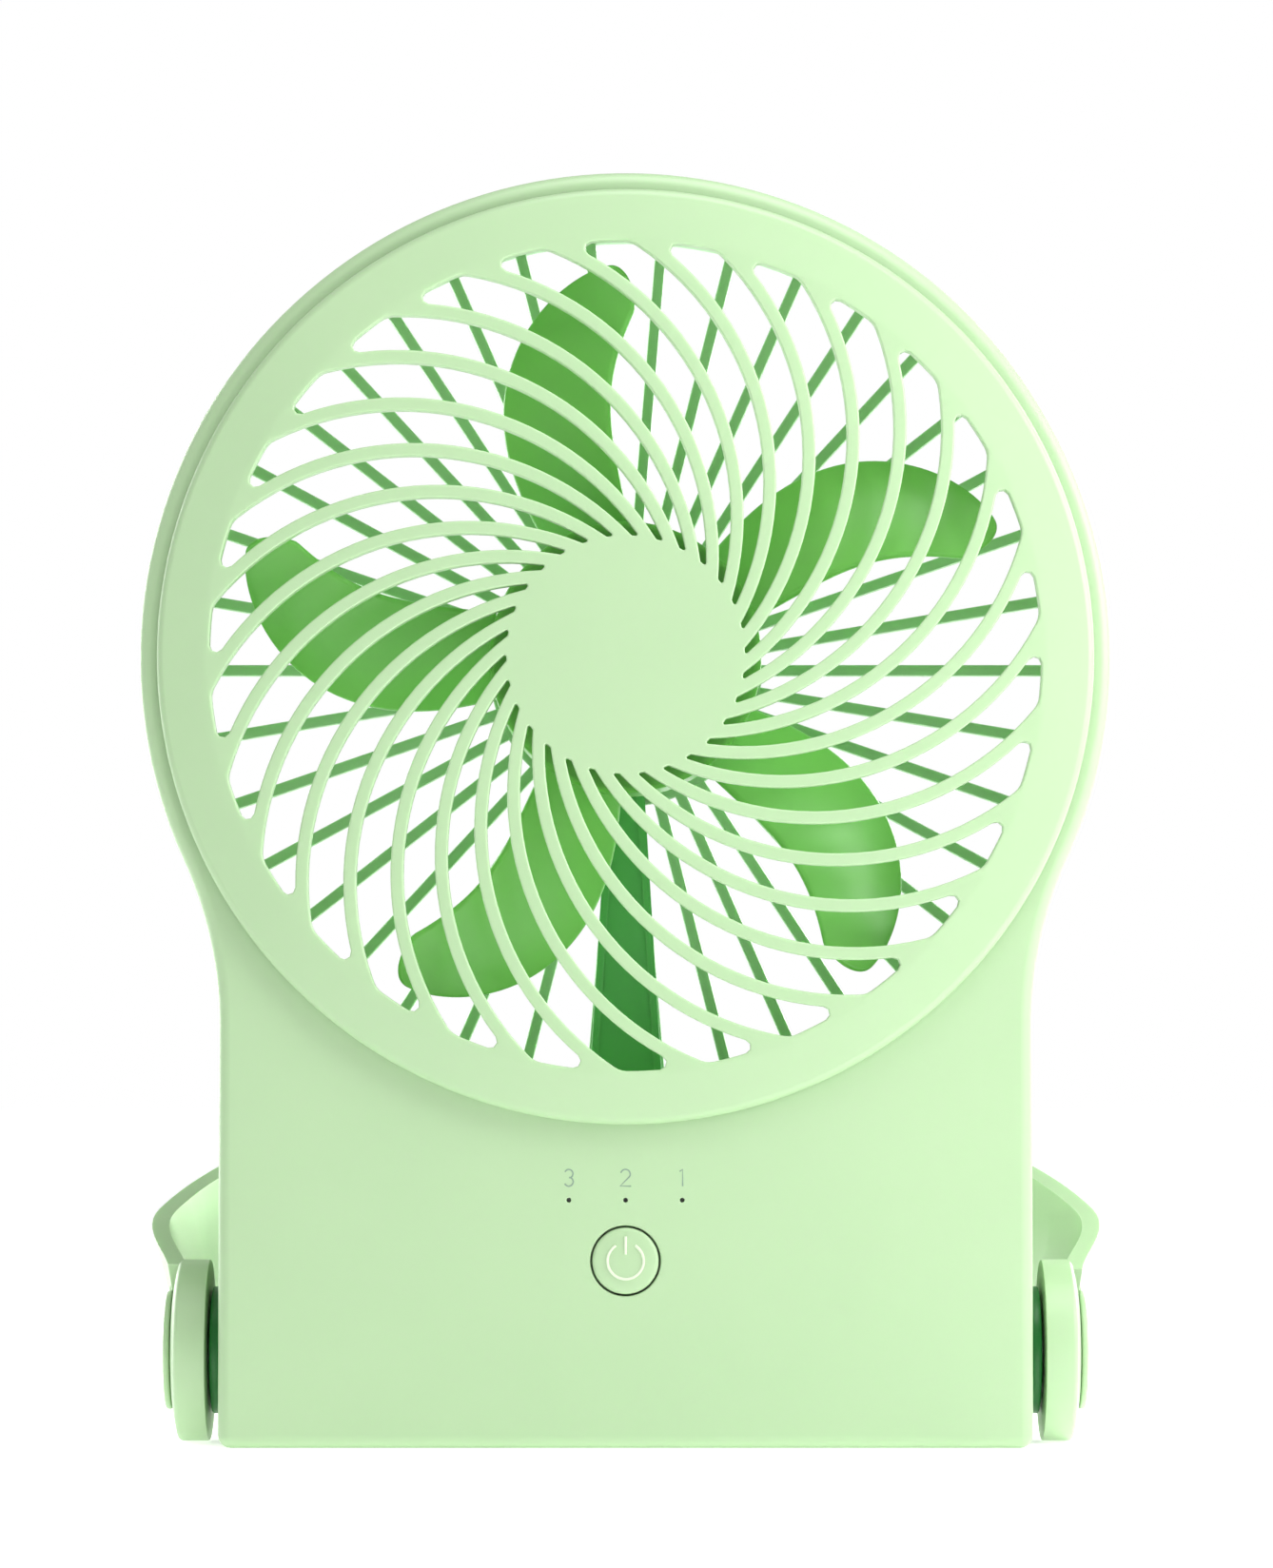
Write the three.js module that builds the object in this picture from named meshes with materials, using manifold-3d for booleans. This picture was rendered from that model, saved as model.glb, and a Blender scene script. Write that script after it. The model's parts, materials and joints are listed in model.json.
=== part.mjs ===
// A small handheld electric fan: a round head on a flat body, a swirl front grille, a five-blade impeller,
// a power button, and a U-shaped stand that turns on the sides of the body and doubles as a handle.
// Millimetres. +X is to the right as the front is seen, the front faces -Y, and +Z is up.
// The origin is the middle of the flat base.
import * as THREE from "three";
import { mergeVertices } from "three/addons/utils/BufferGeometryUtils.js";
import Module from "manifold-3d";

const wasm = await Module();
wasm.setup();

const GAP = 0.3; // clearance between neighbouring pieces
const DEG = Math.PI / 180;

// Body
const HEAD_R = 57;
const HEAD_Z = 92.3; // height of the impeller axis
const HALF_WIDTH = 47.45;
const NECK_R = 46; // concave blend between the straight sides and the head
const HALF_DEPTH = 14;
const EDGE_R = 1.6; // rounding of the body's front and rear edges
const CORNER_R = 1.5;
const WALL = 2;
const SPLIT_Y = 8.5; // the seam between the two shells
const DUCT_R = 53.5;
const DUCT_WALL = 1.8;
const OUTLINE_STEP = 6 * DEG;
const DUCT_SIDES = 56;

// Front grille
const RING_R = 54.7;
const OPENING_R = 48.4;
const RING_DEPTH = 2.3;
const RIB_COUNT = 30;
const RIB_WIDTH = 1.5;
const RIB_ARC_R = 34.3; // every rib is an arc of this radius
const RIB_ARC_OFFSET = 26.7; // distance of that arc's centre from the impeller axis
const RIB_ARC_TURN = 106.8 * DEG; // direction of the first rib's arc centre
const RIB_DEPTH = 2; // flush with the ring's front, and a little shallower
const HUB_DISC_R = 13.9;

// Rear grille and motor
const SPOKE_COUNT = 38;
const SPOKE_WIDTH = 1.1;
const REAR_HUB_R = 16.5;
const REAR_DEPTH = 2;
const REAR_RIM_WIDTH = 1;
const COVER_FRONT = 9.5; // the wire cover's front and rear faces
const COVER_BACK = HALF_DEPTH - REAR_DEPTH - GAP;
const COVER_FOOT_WIDTH = 9.2;
const COVER_TOP_WIDTH = 4.4;
const MOTOR_R = 12;
const MOTOR_FRONT = -0.7;
const MOTOR_REAR = HALF_DEPTH - REAR_DEPTH - 1.6; // the face that the motor is screwed against
const SOCKET_WALL = 1.5;
const SOCKET_FRONT = 4;
const SHAFT_R = 1;
const SHAFT_FRONT = -10.2;
const SHAFT_REAR = 4;
const MOTOR_SCREW_RADIUS = 8;

// Impeller
const BLADE_COUNT = 5;
const BLADE_TIP_R = 46.5;
const BLADE_ROOT_R = 15;
const BLADE_THICK = 1.3;
const BLADE_FRONT = -10.8;
const BLADE_REAR = -1.5;
const CUP_R = 16;
const CUP_FRONT = -12;
const CUP_REAR = -1;
const CUP_WALL = 1.5;

// Controls and electronics
const BUTTON_Z = 21.75;
const BUTTON_R = 3.8;
const BUTTON_PROUD = 0.35;
const LED_Z = 28.8;
const LED_SPACING = 6.6;
const LED_HOLE_R = 0.35;
const BOARD_FRONT = -8.2;
const BOARD_THICK = 1.2;
const BOARD_FOOT = 14.6;
const BOARD_TOP = 36.6;
const BATTERY_R = 9.15;
const BATTERY_LENGTH = 65;
const BATTERY_Y = 2.6;
const BATTERY_Z = 11.7;
const PORT_Z = 25.7;

// Stand
const PIVOT_Z = 10.8;
const STAND_RAISE = 21.5 * DEG; // how far the loop is lifted above level
const ARM_R = 10.7;
const ARM_INNER_X = 49.2;
const ARM_THICK = 4.7;
const LOOP_R = 59.3; // outer radius of the loop's wide rim
const LOOP_WALL = 2.2;
const LOOP_HALF_HEIGHT = 10.4;
const LOOP_DRAFT = 9 * DEG; // slope of the loop's wall
const LOOP_LIFT = 6; // how much the narrow rim rises towards the back
const FLARE_ANGLE = 18 * DEG; // stretch in which the rim swings out from the arm
const PIN_R = 3;
const WASHER_R = 7.5;
const WASHER_THICK = 1.15;
const PIN_GROOVE_X = 51.2; // where the clip's groove starts
const PIN_END_X = 52.1;
const PIN_GROOVE_R = 2.2;
const CAP_R = 7;
const CAP_SEAT = ARM_THICK - 0.4; // depth of the shallow seat for a cap's rim
const CAP_RISE = 0.6; // how far a cap stands out of its arm

// ---- geometry helpers

// Points along an arc in a plane, both ends included.
function arc(cx, cy, r, from, to, step = OUTLINE_STEP) {
  const count = Math.max(1, Math.ceil(Math.abs(to - from) / step));
  const points = [];
  for (let i = 0; i <= count; i++) {
    const a = from + ((to - from) * i) / count;
    points.push(new THREE.Vector2(cx + r * Math.cos(a), cy + r * Math.sin(a)));
  }
  return points;
}

// A closed geometry as a manifold solid, turned outwards first where its faces point in.
function solid(geometry) {
  geometry.deleteAttribute("normal");
  geometry.deleteAttribute("uv");
  const merged = mergeVertices(geometry, 1e-4);
  const vertProperties = merged.attributes.position.array;
  const triVerts = new Uint32Array(merged.index.array);
  if (signedVolume(vertProperties, triVerts) < 0) {
    triVerts.reverse();
  }
  return new wasm.Manifold(new wasm.Mesh({ numProp: 3, vertProperties, triVerts }));
}

function signedVolume(positions, triangles) {
  const corner = (i) => new THREE.Vector3().fromArray(positions, 3 * triangles[i]);
  let volume = 0;
  for (let i = 0; i < triangles.length; i += 3) {
    volume += corner(i).dot(corner(i + 1).cross(corner(i + 2)));
  }
  return volume;
}

// A manifold solid back as a geometry that three.js can draw.
function geometryOf(made) {
  const mesh = made.getMesh();
  const geometry = new THREE.BufferGeometry();
  geometry.setAttribute("position", new THREE.BufferAttribute(mesh.vertProperties, 3));
  geometry.setIndex(new THREE.BufferAttribute(mesh.triVerts, 1));
  geometry.computeVertexNormals();
  return geometry;
}

// An outline in X and Z made thick from yFront to yBack, with its edges rounded by `edge`.
function plate(points, yFront, yBack, edge = 0) {
  const geometry = new THREE.ExtrudeGeometry(new THREE.Shape(points), {
    depth: yBack - yFront - 2 * edge,
    bevelEnabled: edge > 0,
    bevelThickness: edge,
    bevelSize: edge,
    bevelOffset: -edge,
    bevelSegments: 2,
  });
  geometry.rotateX(Math.PI / 2);
  geometry.translate(0, yBack - edge, 0);
  return solid(geometry);
}

// A profile of [radius, along] pairs spun about the Y axis and moved to (x, z).
function spunY(profile, x, z, sides = 24) {
  const points = profile.map(([r, y]) => new THREE.Vector2(r, y));
  const geometry = new THREE.LatheGeometry(points, sides);
  geometry.translate(x, 0, z);
  return solid(geometry);
}

// The same, spun about the X axis through (y, z).
function spunX(profile, y, z, sides = 24) {
  const points = profile.map(([r, x]) => new THREE.Vector2(r, x));
  const geometry = new THREE.LatheGeometry(points, sides);
  geometry.rotateZ(-Math.PI / 2);
  geometry.translate(0, y, z);
  return solid(geometry);
}

// A plain rod along Y, or a tube where `bore` is given.
function rodY(r, yFront, yBack, x, z, sides = 24, bore = 0) {
  const profile = [[bore, yFront], [r, yFront], [r, yBack], [bore, yBack]];
  if (bore > 0) {
    profile.push([bore, yFront]);
  }
  return spunY(profile, x, z, sides);
}

function rodX(r, xFrom, xTo, y, z, sides = 24) {
  return spunX([[0, xFrom], [r, xFrom], [r, xTo], [0, xTo]], y, z, sides);
}

// A box from its low corner to its high corner.
function block(x0, x1, y0, y1, z0, z1) {
  const geometry = new THREE.BoxGeometry(x1 - x0, y1 - y0, z1 - z0);
  geometry.translate((x0 + x1) / 2, (y0 + y1) / 2, (z0 + z1) / 2);
  return solid(geometry);
}

// A strip of quads between rings of equal length, closed at both ends: a loft.
function loft(rings) {
  const size = rings[0].length;
  const positions = rings.flat().flatMap((p) => [p.x, p.y, p.z]);
  const indices = [];
  for (let i = 0; i + 1 < rings.length; i++) {
    for (let j = 0; j < size; j++) {
      const a = i * size + j;
      const b = i * size + ((j + 1) % size);
      indices.push(a, b, b + size, a, b + size, a + size);
    }
  }
  const last = (rings.length - 1) * size;
  for (let j = 1; j + 1 < size; j++) {
    indices.push(0, j + 1, j);
    indices.push(last, last + j, last + j + 1);
  }
  const geometry = new THREE.BufferGeometry();
  geometry.setAttribute("position", new THREE.Float32BufferAttribute(positions, 3));
  geometry.setIndex(indices);
  return solid(geometry);
}

// ---- materials

function plastic(color, roughness = 0.5) {
  return () => new THREE.MeshStandardMaterial({ color, roughness, metalness: 0 });
}

function metal(color, roughness = 0.35) {
  return () => new THREE.MeshStandardMaterial({ color, roughness, metalness: 1 });
}

const mintShell = plastic(0xbce2b1);
const greenGrille = plastic(0x8fcf86, 0.55);
const greenImpeller = plastic(0x63b552, 0.45);
const darkPlastic = plastic(0x2c2f2c, 0.6);
const clearGuide = plastic(0xe8f0e8, 0.15);
const boardLacquer = plastic(0x1f5b36, 0.45);
const cellWrap = plastic(0x3b6fb0, 0.35);
const slippery = plastic(0x2f7a3c, 0.4);
const steel = metal(0xb9bcc0);
const nickel = metal(0xc9c6bd, 0.3);
const redLead = plastic(0xb8322c, 0.5);
const blackLead = plastic(0x1d1d1f, 0.5);

const group = new THREE.Group();

function addNode(name, made, material, parent = group) {
  const mesh = new THREE.Mesh(geometryOf(made), material());
  mesh.name = name;
  parent.add(mesh);
  return mesh;
}

// ---- body shells

// The body's outline in X and Z, moved inwards by `inset`: flat base, straight sides, neck and round head.
function bodyOutline(inset) {
  const half = HALF_WIDTH - inset;
  const neckX = HALF_WIDTH + NECK_R;
  const neckZ = HEAD_Z - Math.sqrt((HEAD_R + NECK_R) ** 2 - neckX ** 2);
  const turn = Math.atan2(HEAD_Z - neckZ, neckX);
  const corner = Math.max(CORNER_R - inset, 0.3);
  const neck = NECK_R + inset;
  const quarter = Math.PI / 2;
  return [
    ...arc(half - corner, inset + corner, corner, -quarter, 0, quarter / 2),
    ...arc(neckX, neckZ, neck, Math.PI, Math.PI - turn),
    ...arc(0, HEAD_Z, HEAD_R - inset, -turn, Math.PI + turn).slice(1, -1),
    ...arc(-neckX, neckZ, neck, turn, 0),
    ...arc(-half + corner, inset + corner, corner, Math.PI, 1.5 * Math.PI, quarter / 2),
  ];
}

// Both shells before they are parted: hollow, with the air duct through the head.
function hollowBody() {
  const outer = plate(bodyOutline(0), -HALF_DEPTH, HALF_DEPTH, EDGE_R);
  const room = plate(bodyOutline(WALL), -HALF_DEPTH + WALL, HALF_DEPTH - WALL);
  const duct = rodY(DUCT_R + DUCT_WALL, -HALF_DEPTH + 1, HALF_DEPTH - 1, 0, HEAD_Z, DUCT_SIDES);
  const air = rodY(DUCT_R, -HALF_DEPTH - 1, HALF_DEPTH + 1, 0, HEAD_Z, DUCT_SIDES);
  return outer.subtract(room).add(duct).subtract(air);
}

const SCREW_POSTS = [[-40, 45], [40, 45], [-40, 5.2], [40, 5.2]];
const POST_R = 2.6;
const PILOT_R = 1.3;
const SCREW_SEAT = SPLIT_Y + 2;

function frontShell(body) {
  const reach = 2 * HEAD_Z;
  let shell = body.intersect(block(-reach, reach, -reach, SPLIT_Y - GAP / 2, -reach, reach));
  for (const [x, z] of SCREW_POSTS) {
    shell = shell.add(rodY(POST_R, -HALF_DEPTH + 1, SPLIT_Y - GAP, x, z, 12));
    shell = shell.subtract(rodY(PILOT_R, -4, SPLIT_Y + 1, x, z, 12));
  }
  shell = shell.subtract(rodY(BUTTON_R + GAP, -HALF_DEPTH - 1, 0, 0, BUTTON_Z, 32));
  for (const i of [-1, 0, 1]) {
    shell = shell.subtract(rodY(LED_HOLE_R, -HALF_DEPTH - 1, 0, i * LED_SPACING, LED_Z, 8));
  }
  for (const side of [-1, 1]) {
    const from = side * (HALF_WIDTH - WALL - 1);
    const to = side * (HALF_WIDTH + 1);
    shell = shell.subtract(rodX(PIN_R + GAP, Math.min(from, to), Math.max(from, to), 0, PIVOT_Z, 20));
  }
  return shell;
}

function rearShell(body) {
  const reach = 2 * HEAD_Z;
  let shell = body.intersect(block(-reach, reach, SPLIT_Y + GAP / 2, reach, -reach, reach));
  for (const [x, z] of SCREW_POSTS) {
    shell = shell.add(rodY(POST_R + 1, SPLIT_Y + GAP, HALF_DEPTH - 1, x, z, 12));
    shell = shell.subtract(rodY(PILOT_R, SPLIT_Y - 1, HALF_DEPTH + 1, x, z, 12));
    shell = shell.subtract(rodY(POST_R, SCREW_SEAT, HALF_DEPTH + 1, x, z, 12));
  }
  shell = shell.subtract(block(-4.9, 4.9, HALF_DEPTH - WALL - 1, HALF_DEPTH + 1, PORT_Z - 2, PORT_Z + 2));
  const ductFoot = HEAD_Z - DUCT_R;
  return shell.subtract(block(-2.6, 2.6, 9, 11.8, ductFoot - 3, ductFoot + 1));
}

// ---- grilles

// Angle on a rib's own arc at which it is `r` from the impeller axis.
function ribAngle(r, side) {
  const d = RIB_ARC_OFFSET;
  const cosine = (r * r - d * d - RIB_ARC_R ** 2) / (2 * d * RIB_ARC_R);
  return RIB_ARC_TURN + side * Math.acos(cosine);
}

// One swirl rib's outline about the impeller axis.
function ribOutline() {
  const cx = RIB_ARC_OFFSET * Math.cos(RIB_ARC_TURN);
  const cz = RIB_ARC_OFFSET * Math.sin(RIB_ARC_TURN);
  const from = ribAngle(HUB_DISC_R - 0.8, -1);
  const to = ribAngle(OPENING_R + 1, -1);
  const step = 11 * DEG;
  const outer = arc(cx, cz, RIB_ARC_R + RIB_WIDTH / 2, from, to, step);
  const inner = arc(cx, cz, RIB_ARC_R - RIB_WIDTH / 2, to, from, step);
  return [...outer, ...inner];
}

function frontGrille() {
  const back = -HALF_DEPTH - GAP;
  const front = back - RING_DEPTH;
  const edge = 0.8;
  const ring = spunY([
    [OPENING_R, back], [RING_R, back], [RING_R, front + edge], [RING_R - edge / 3, front + edge / 3],
    [RING_R - edge, front], [OPENING_R, front], [OPENING_R, back],
  ], 0, HEAD_Z, 64);
  let grille = ring.add(rodY(HUB_DISC_R, front, front + RIB_DEPTH, 0, HEAD_Z, 36));
  const rib = plate(ribOutline(), front, front + RIB_DEPTH);
  for (let k = 0; k < RIB_COUNT; k++) {
    const turned = rib.rotate([0, (-360 * k) / RIB_COUNT, 0]);
    grille = grille.add(turned.translate([0, 0, HEAD_Z]));
  }
  return grille;
}

function rearGrille() {
  const back = HALF_DEPTH;
  const front = back - REAR_DEPTH;
  const ringR = DUCT_R - GAP;
  let grille = rodY(ringR, front, back, 0, HEAD_Z, 64, ringR - REAR_RIM_WIDTH);
  grille = grille.add(rodY(REAR_HUB_R, front, back, 0, HEAD_Z, 32));
  const socketBore = MOTOR_R + GAP;
  const socketR = socketBore + SOCKET_WALL;
  grille = grille.add(rodY(socketR, SOCKET_FRONT, front + 0.5, 0, HEAD_Z, 32, socketBore));
  for (let k = 0; k < SPOKE_COUNT; k++) {
    const spoke = block(REAR_HUB_R - 1, ringR - 0.6, front, back, -SPOKE_WIDTH / 2, SPOKE_WIDTH / 2);
    grille = grille.add(spoke.rotate([0, (-360 * k) / SPOKE_COUNT, 0]).translate([0, 0, HEAD_Z]));
  }
  for (const side of [-1, 1]) {
    const x = side * MOTOR_SCREW_RADIUS;
    grille = grille.subtract(rodY(PILOT_R, front - 1, back + 1, x, HEAD_Z, 12));
    grille = grille.subtract(rodY(POST_R, back - 1.2, back + 1, x, HEAD_Z, 12));
  }
  return grille;
}

// The tapered channel that hides the motor's leads, open towards the rear grille.
function wireCover() {
  const top = HEAD_Z - MOTOR_R - SOCKET_WALL - 2 * GAP - 0.2;
  const foot = HEAD_Z - DUCT_R + 0.6;
  const footHalf = COVER_FOOT_WIDTH / 2;
  const topHalf = COVER_TOP_WIDTH / 2;
  const outline = (shrink) => [
    new THREE.Vector2(-footHalf + shrink, foot - 2 * shrink),
    new THREE.Vector2(footHalf - shrink, foot - 2 * shrink),
    new THREE.Vector2(topHalf - shrink * 0.6, top + 2 * shrink),
    new THREE.Vector2(-topHalf + shrink * 0.6, top + 2 * shrink),
  ];
  const shell = plate(outline(0), COVER_FRONT, COVER_BACK);
  return shell.subtract(plate(outline(0.8), COVER_FRONT + 0.8, COVER_BACK + 1));
}

// ---- impeller and motor

// A crescent blade: at each radius its chord runs between two angles and slopes from front to rear.
function blade() {
  const rings = [];
  const stations = 8;
  for (let i = 0; i <= stations; i++) {
    const t = i / stations;
    const r = BLADE_ROOT_R + (BLADE_TIP_R - BLADE_ROOT_R) * t;
    const lead = (16.5 + 5 * Math.sin(Math.min(1.12, 1.21 * t) * Math.PI)) * DEG;
    const trail = (20 + 31.3 * (1 - Math.min(0.985, t) ** 2) ** 0.7) * DEG;
    rings.push(bladeSection(r, lead, trail));
  }
  return loft(rings);
}

// One closed ring round a blade at radius r: along its front face and back along its rear face.
function bladeSection(r, lead, trail) {
  const chord = 5;
  const at = (s, offset) => {
    const a = lead + (trail - lead) * s;
    const slope = BLADE_FRONT + (BLADE_REAR - BLADE_FRONT) * fullness(lead, trail) * s;
    const camber = -1.2 * Math.sin(Math.PI * s);
    return new THREE.Vector3(r * Math.cos(a), slope + camber + offset, r * Math.sin(a));
  };
  const ring = [];
  for (let j = 0; j <= chord; j++) {
    ring.push(at(j / chord, 0));
  }
  for (let j = chord; j >= 0; j--) {
    ring.push(at(j / chord, BLADE_THICK));
  }
  return ring;
}

// How much of the full depth a chord of this angle takes up.
function fullness(lead, trail) {
  return Math.min(1, (trail - lead) / (30 * DEG));
}

function impeller() {
  const boss = 2.8;
  let made = spunY([
    [0, CUP_FRONT], [CUP_R - 1.2, CUP_FRONT], [CUP_R, CUP_FRONT + 1.2], [CUP_R, CUP_REAR],
    [CUP_R - CUP_WALL, CUP_REAR], [CUP_R - CUP_WALL, CUP_FRONT + CUP_WALL], [boss, CUP_FRONT + CUP_WALL],
    [boss, MOTOR_FRONT - 2.2], [SHAFT_R + GAP, MOTOR_FRONT - 2.2], [SHAFT_R + GAP, SHAFT_FRONT - GAP],
    [0, SHAFT_FRONT - GAP],
  ], 0, 0, 36);
  const one = blade();
  for (let k = 0; k < BLADE_COUNT; k++) {
    made = made.add(one.rotate([0, (-360 * k) / BLADE_COUNT , 0]));
  }
  return made.translate([0, 0, HEAD_Z]);
}

function motorCan() {
  const bore = SHAFT_R + GAP;
  const can = spunY([
    [0, MOTOR_REAR], [MOTOR_R, MOTOR_REAR], [MOTOR_R, MOTOR_FRONT], [3, MOTOR_FRONT],
    [3, MOTOR_FRONT - 1.3], [bore, MOTOR_FRONT - 1.3], [bore, SHAFT_REAR + GAP], [0, SHAFT_REAR + GAP],
  ], 0, HEAD_Z, 32);
  const holes = [-1, 1].map((side) => {
    return rodY(PILOT_R, MOTOR_REAR - 3.5, MOTOR_REAR + 1, side * MOTOR_SCREW_RADIUS, HEAD_Z, 12);
  });
  return can.subtract(holes[0]).subtract(holes[1]);
}

// A pan-head screw driven along -Y, its head from `seat` outwards.
function screw(x, z, seat, length, headR) {
  return spunY([
    [0, seat - length], [0.7, seat - length], [1, seat - length + 1], [1, seat],
    [headR, seat], [headR, seat + 0.9], [headR * 0.7, seat + 1.4], [0, seat + 1.4],
  ], x, z, 12);
}

// A straight-walled lead that leaves the motor, runs down the wire cover and reaches the board.
function lead(x) {
  const route = new THREE.CatmullRomCurve3([
    new THREE.Vector3(x, 11.1, HEAD_Z - MOTOR_R - SOCKET_WALL - 3),
    new THREE.Vector3(x, 11.1, 56),
    new THREE.Vector3(x, 10.9, 41),
    new THREE.Vector3(x, 9.6, 36.3),
    new THREE.Vector3(x, 4, 33.8),
    new THREE.Vector3(x, BOARD_FRONT + BOARD_THICK + GAP, 33.5),
  ]);
  const section = new THREE.Shape(arc(0, 0, 0.45, 0, 2 * Math.PI, 60 * DEG).slice(0, -1));
  const geometry = new THREE.ExtrudeGeometry(section, { steps: 24, extrudePath: route });
  return solid(geometry);
}

// ---- controls and electronics

function powerButton() {
  const face = -HALF_DEPTH - BUTTON_PROUD;
  const flangeFront = -HALF_DEPTH + WALL + GAP;
  return spunY([
    [0, face], [BUTTON_R * 0.6, face + 0.1], [BUTTON_R - 0.4, face + 0.3], [BUTTON_R, face + 0.7],
    [BUTTON_R, flangeFront], [5.2, flangeFront], [5.2, flangeFront + 0.8], [0, flangeFront + 0.8],
  ], 0, BUTTON_Z, 32);
}

function tactSwitch() {
  const seat = BOARD_FRONT - GAP;
  const can = block(-3, 3, seat - 1.2, seat, BUTTON_Z - 3, BUTTON_Z + 3);
  return can.add(rodY(1.6, seat - 1.5, seat - 0.5, 0, BUTTON_Z, 12));
}

function batteryCell() {
  const half = BATTERY_LENGTH / 2;
  const edge = 0.8;
  return spunX([
    [0, -half], [BATTERY_R - edge, -half], [BATTERY_R, -half + edge], [BATTERY_R, half - 1 - edge],
    [BATTERY_R - edge, half - 1], [2.8, half - 1], [2.8, half], [0, half],
  ], BATTERY_Y, BATTERY_Z, 28);
}

function chargingSocket() {
  const back = HALF_DEPTH - 0.4;
  const shell = block(-4.5, 4.5, back - 8.6, back, PORT_Z - 1.6, PORT_Z + 1.6);
  return shell.subtract(block(-4.1, 4.1, back - 7, back + 1, PORT_Z - 1.2, PORT_Z + 1.2));
}

// ---- stand, built in its own frame: the pivot axis is X, the loop reaches along +Y, its wide rim is up

// Outer radius of the wide rim at angle a from +X.
function rimRadius(a) {
  const toArm = Math.min(a, Math.PI - a) / FLARE_ANGLE;
  const s = Math.min(1, Math.max(0, toArm));
  const slow = s * s * (3 - 2 * s);
  const quick = s * (1.5 - 0.5 * s * s);
  const armOuter = ARM_INNER_X + ARM_THICK;
  return armOuter + (LOOP_R - armOuter) * (0.75 * slow + 0.25 * quick);
}

// Outer radius of the narrow rim at angle a: straight along the body's side, then drawn in by the draft.
function footRadius(a, low) {
  const straight = (ARM_INNER_X + LOOP_WALL) / Math.max(0.01, Math.abs(Math.cos(a)));
  const drawnIn = LOOP_R - (LOOP_HALF_HEIGHT - low) * Math.tan(LOOP_DRAFT);
  return Math.min(straight, drawnIn);
}

function loopBand() {
  const rings = [];
  const steps = 40;
  for (let i = 0; i <= steps; i++) {
    const a = (Math.PI * i) / steps;
    const low = -LOOP_HALF_HEIGHT + LOOP_LIFT * Math.sin(a);
    const rim = rimRadius(a);
    const foot = footRadius(a, low);
    const at = (r, w) => new THREE.Vector3(r * Math.cos(a), r * Math.sin(a), w);
    rings.push([
      at(rim, LOOP_HALF_HEIGHT), at(foot, low), at(foot - LOOP_WALL, low),
      at(rim - LOOP_WALL, LOOP_HALF_HEIGHT),
    ]);
  }
  return loft(rings);
}

// The round, slightly crowned end of one arm, bored for its pivot and recessed for its cap.
function armEnd(side) {
  const x = (d) => side * (ARM_INNER_X + d);
  return spunX([
    [0, x(0)], [ARM_R - 0.4, x(0)], [ARM_R, x(0.4)], [ARM_R, x(ARM_THICK - 1.5)],
    [ARM_R - 0.5, x(ARM_THICK - 0.9)], [ARM_R - 2, x(ARM_THICK - 0.2)], [CAP_R, x(ARM_THICK)],
    [0, x(ARM_THICK)],
  ], 0, 0, 28);
}

function armBore(side) {
  const x = (d) => side * (ARM_INNER_X + d);
  return spunX([
    [0, x(-1)], [PIN_R + GAP, x(-1)], [PIN_R + GAP, x(1.5)], [5.9, x(1.5)], [5.9, x(CAP_SEAT)],
    [CAP_R + GAP, x(CAP_SEAT)], [CAP_R + GAP, x(ARM_THICK + 1)], [0, x(ARM_THICK + 1)],
  ], 0, 0, 24);
}

// The loop with both arm ends. The band keeps clear of the body's side and of the round caps.
function standLoop() {
  let band = loopBand();
  for (const side of [-1, 1]) {
    const face = side * (ARM_INNER_X + ARM_THICK);
    const away = side * (LOOP_R + 1);
    band = band.subtract(rodX(CAP_R + 2 * GAP, Math.min(face, away), Math.max(face, away), 0, 0, 28));
  }
  let made = band.subtract(block(-ARM_INNER_X, ARM_INNER_X, -ARM_R, ARM_R, -LOOP_R, LOOP_R));
  for (const side of [-1, 1]) {
    made = made.add(armEnd(side)).subtract(armBore(side));
  }
  return made;
}

function hubCap(side) {
  const seat = ARM_INNER_X + CAP_SEAT + GAP;
  const top = ARM_INNER_X + ARM_THICK + CAP_RISE;
  return spunX([
    [0, side * (seat - 0.9)], [5.5, side * (seat - 0.9)], [5.5, side * seat], [CAP_R, side * seat],
    [CAP_R, side * (top - 0.35)], [CAP_R - 0.5, side * (top - 0.05)], [0, side * top],
  ], 0, 0, 28);
}

// A shoulder pin held in the side wall of the body, with its head inside and a groove for its clip.
function pivotPin(side) {
  const inside = HALF_WIDTH - WALL - GAP;
  const x = (d) => side * d;
  return spunX([
    [0, x(inside - 1.4)], [4.6, x(inside - 1.4)], [4.6, x(inside)], [PIN_R, x(inside)],
    [PIN_R, x(PIN_GROOVE_X)], [PIN_GROOVE_R, x(PIN_GROOVE_X)], [PIN_GROOVE_R, x(PIN_END_X)], [0, x(PIN_END_X)],
  ], 0, PIVOT_Z, 20);
}

function ringX(outer, bore, from, to, z, side) {
  return spunX([
    [bore, side * from], [outer, side * from], [outer, side * to], [bore, side * to], [bore, side * from],
  ], 0, z, 24);
}

// ---- assembly

const body = hollowBody();
addNode("front_shell", frontShell(body), mintShell);
addNode("rear_shell", rearShell(body), mintShell);
addNode("front_grille", frontGrille(), mintShell);
addNode("rear_grille", rearGrille(), greenGrille);
addNode("wire_cover", wireCover(), slippery);
addNode("impeller", impeller(), greenImpeller);
addNode("motor_can", motorCan(), steel);
addNode("motor_shaft", rodY(SHAFT_R, SHAFT_FRONT, SHAFT_REAR, 0, HEAD_Z, 12), steel);
addNode("motor_lead_red", lead(-0.9), redLead);
addNode("motor_lead_black", lead(0.9), blackLead);

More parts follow.
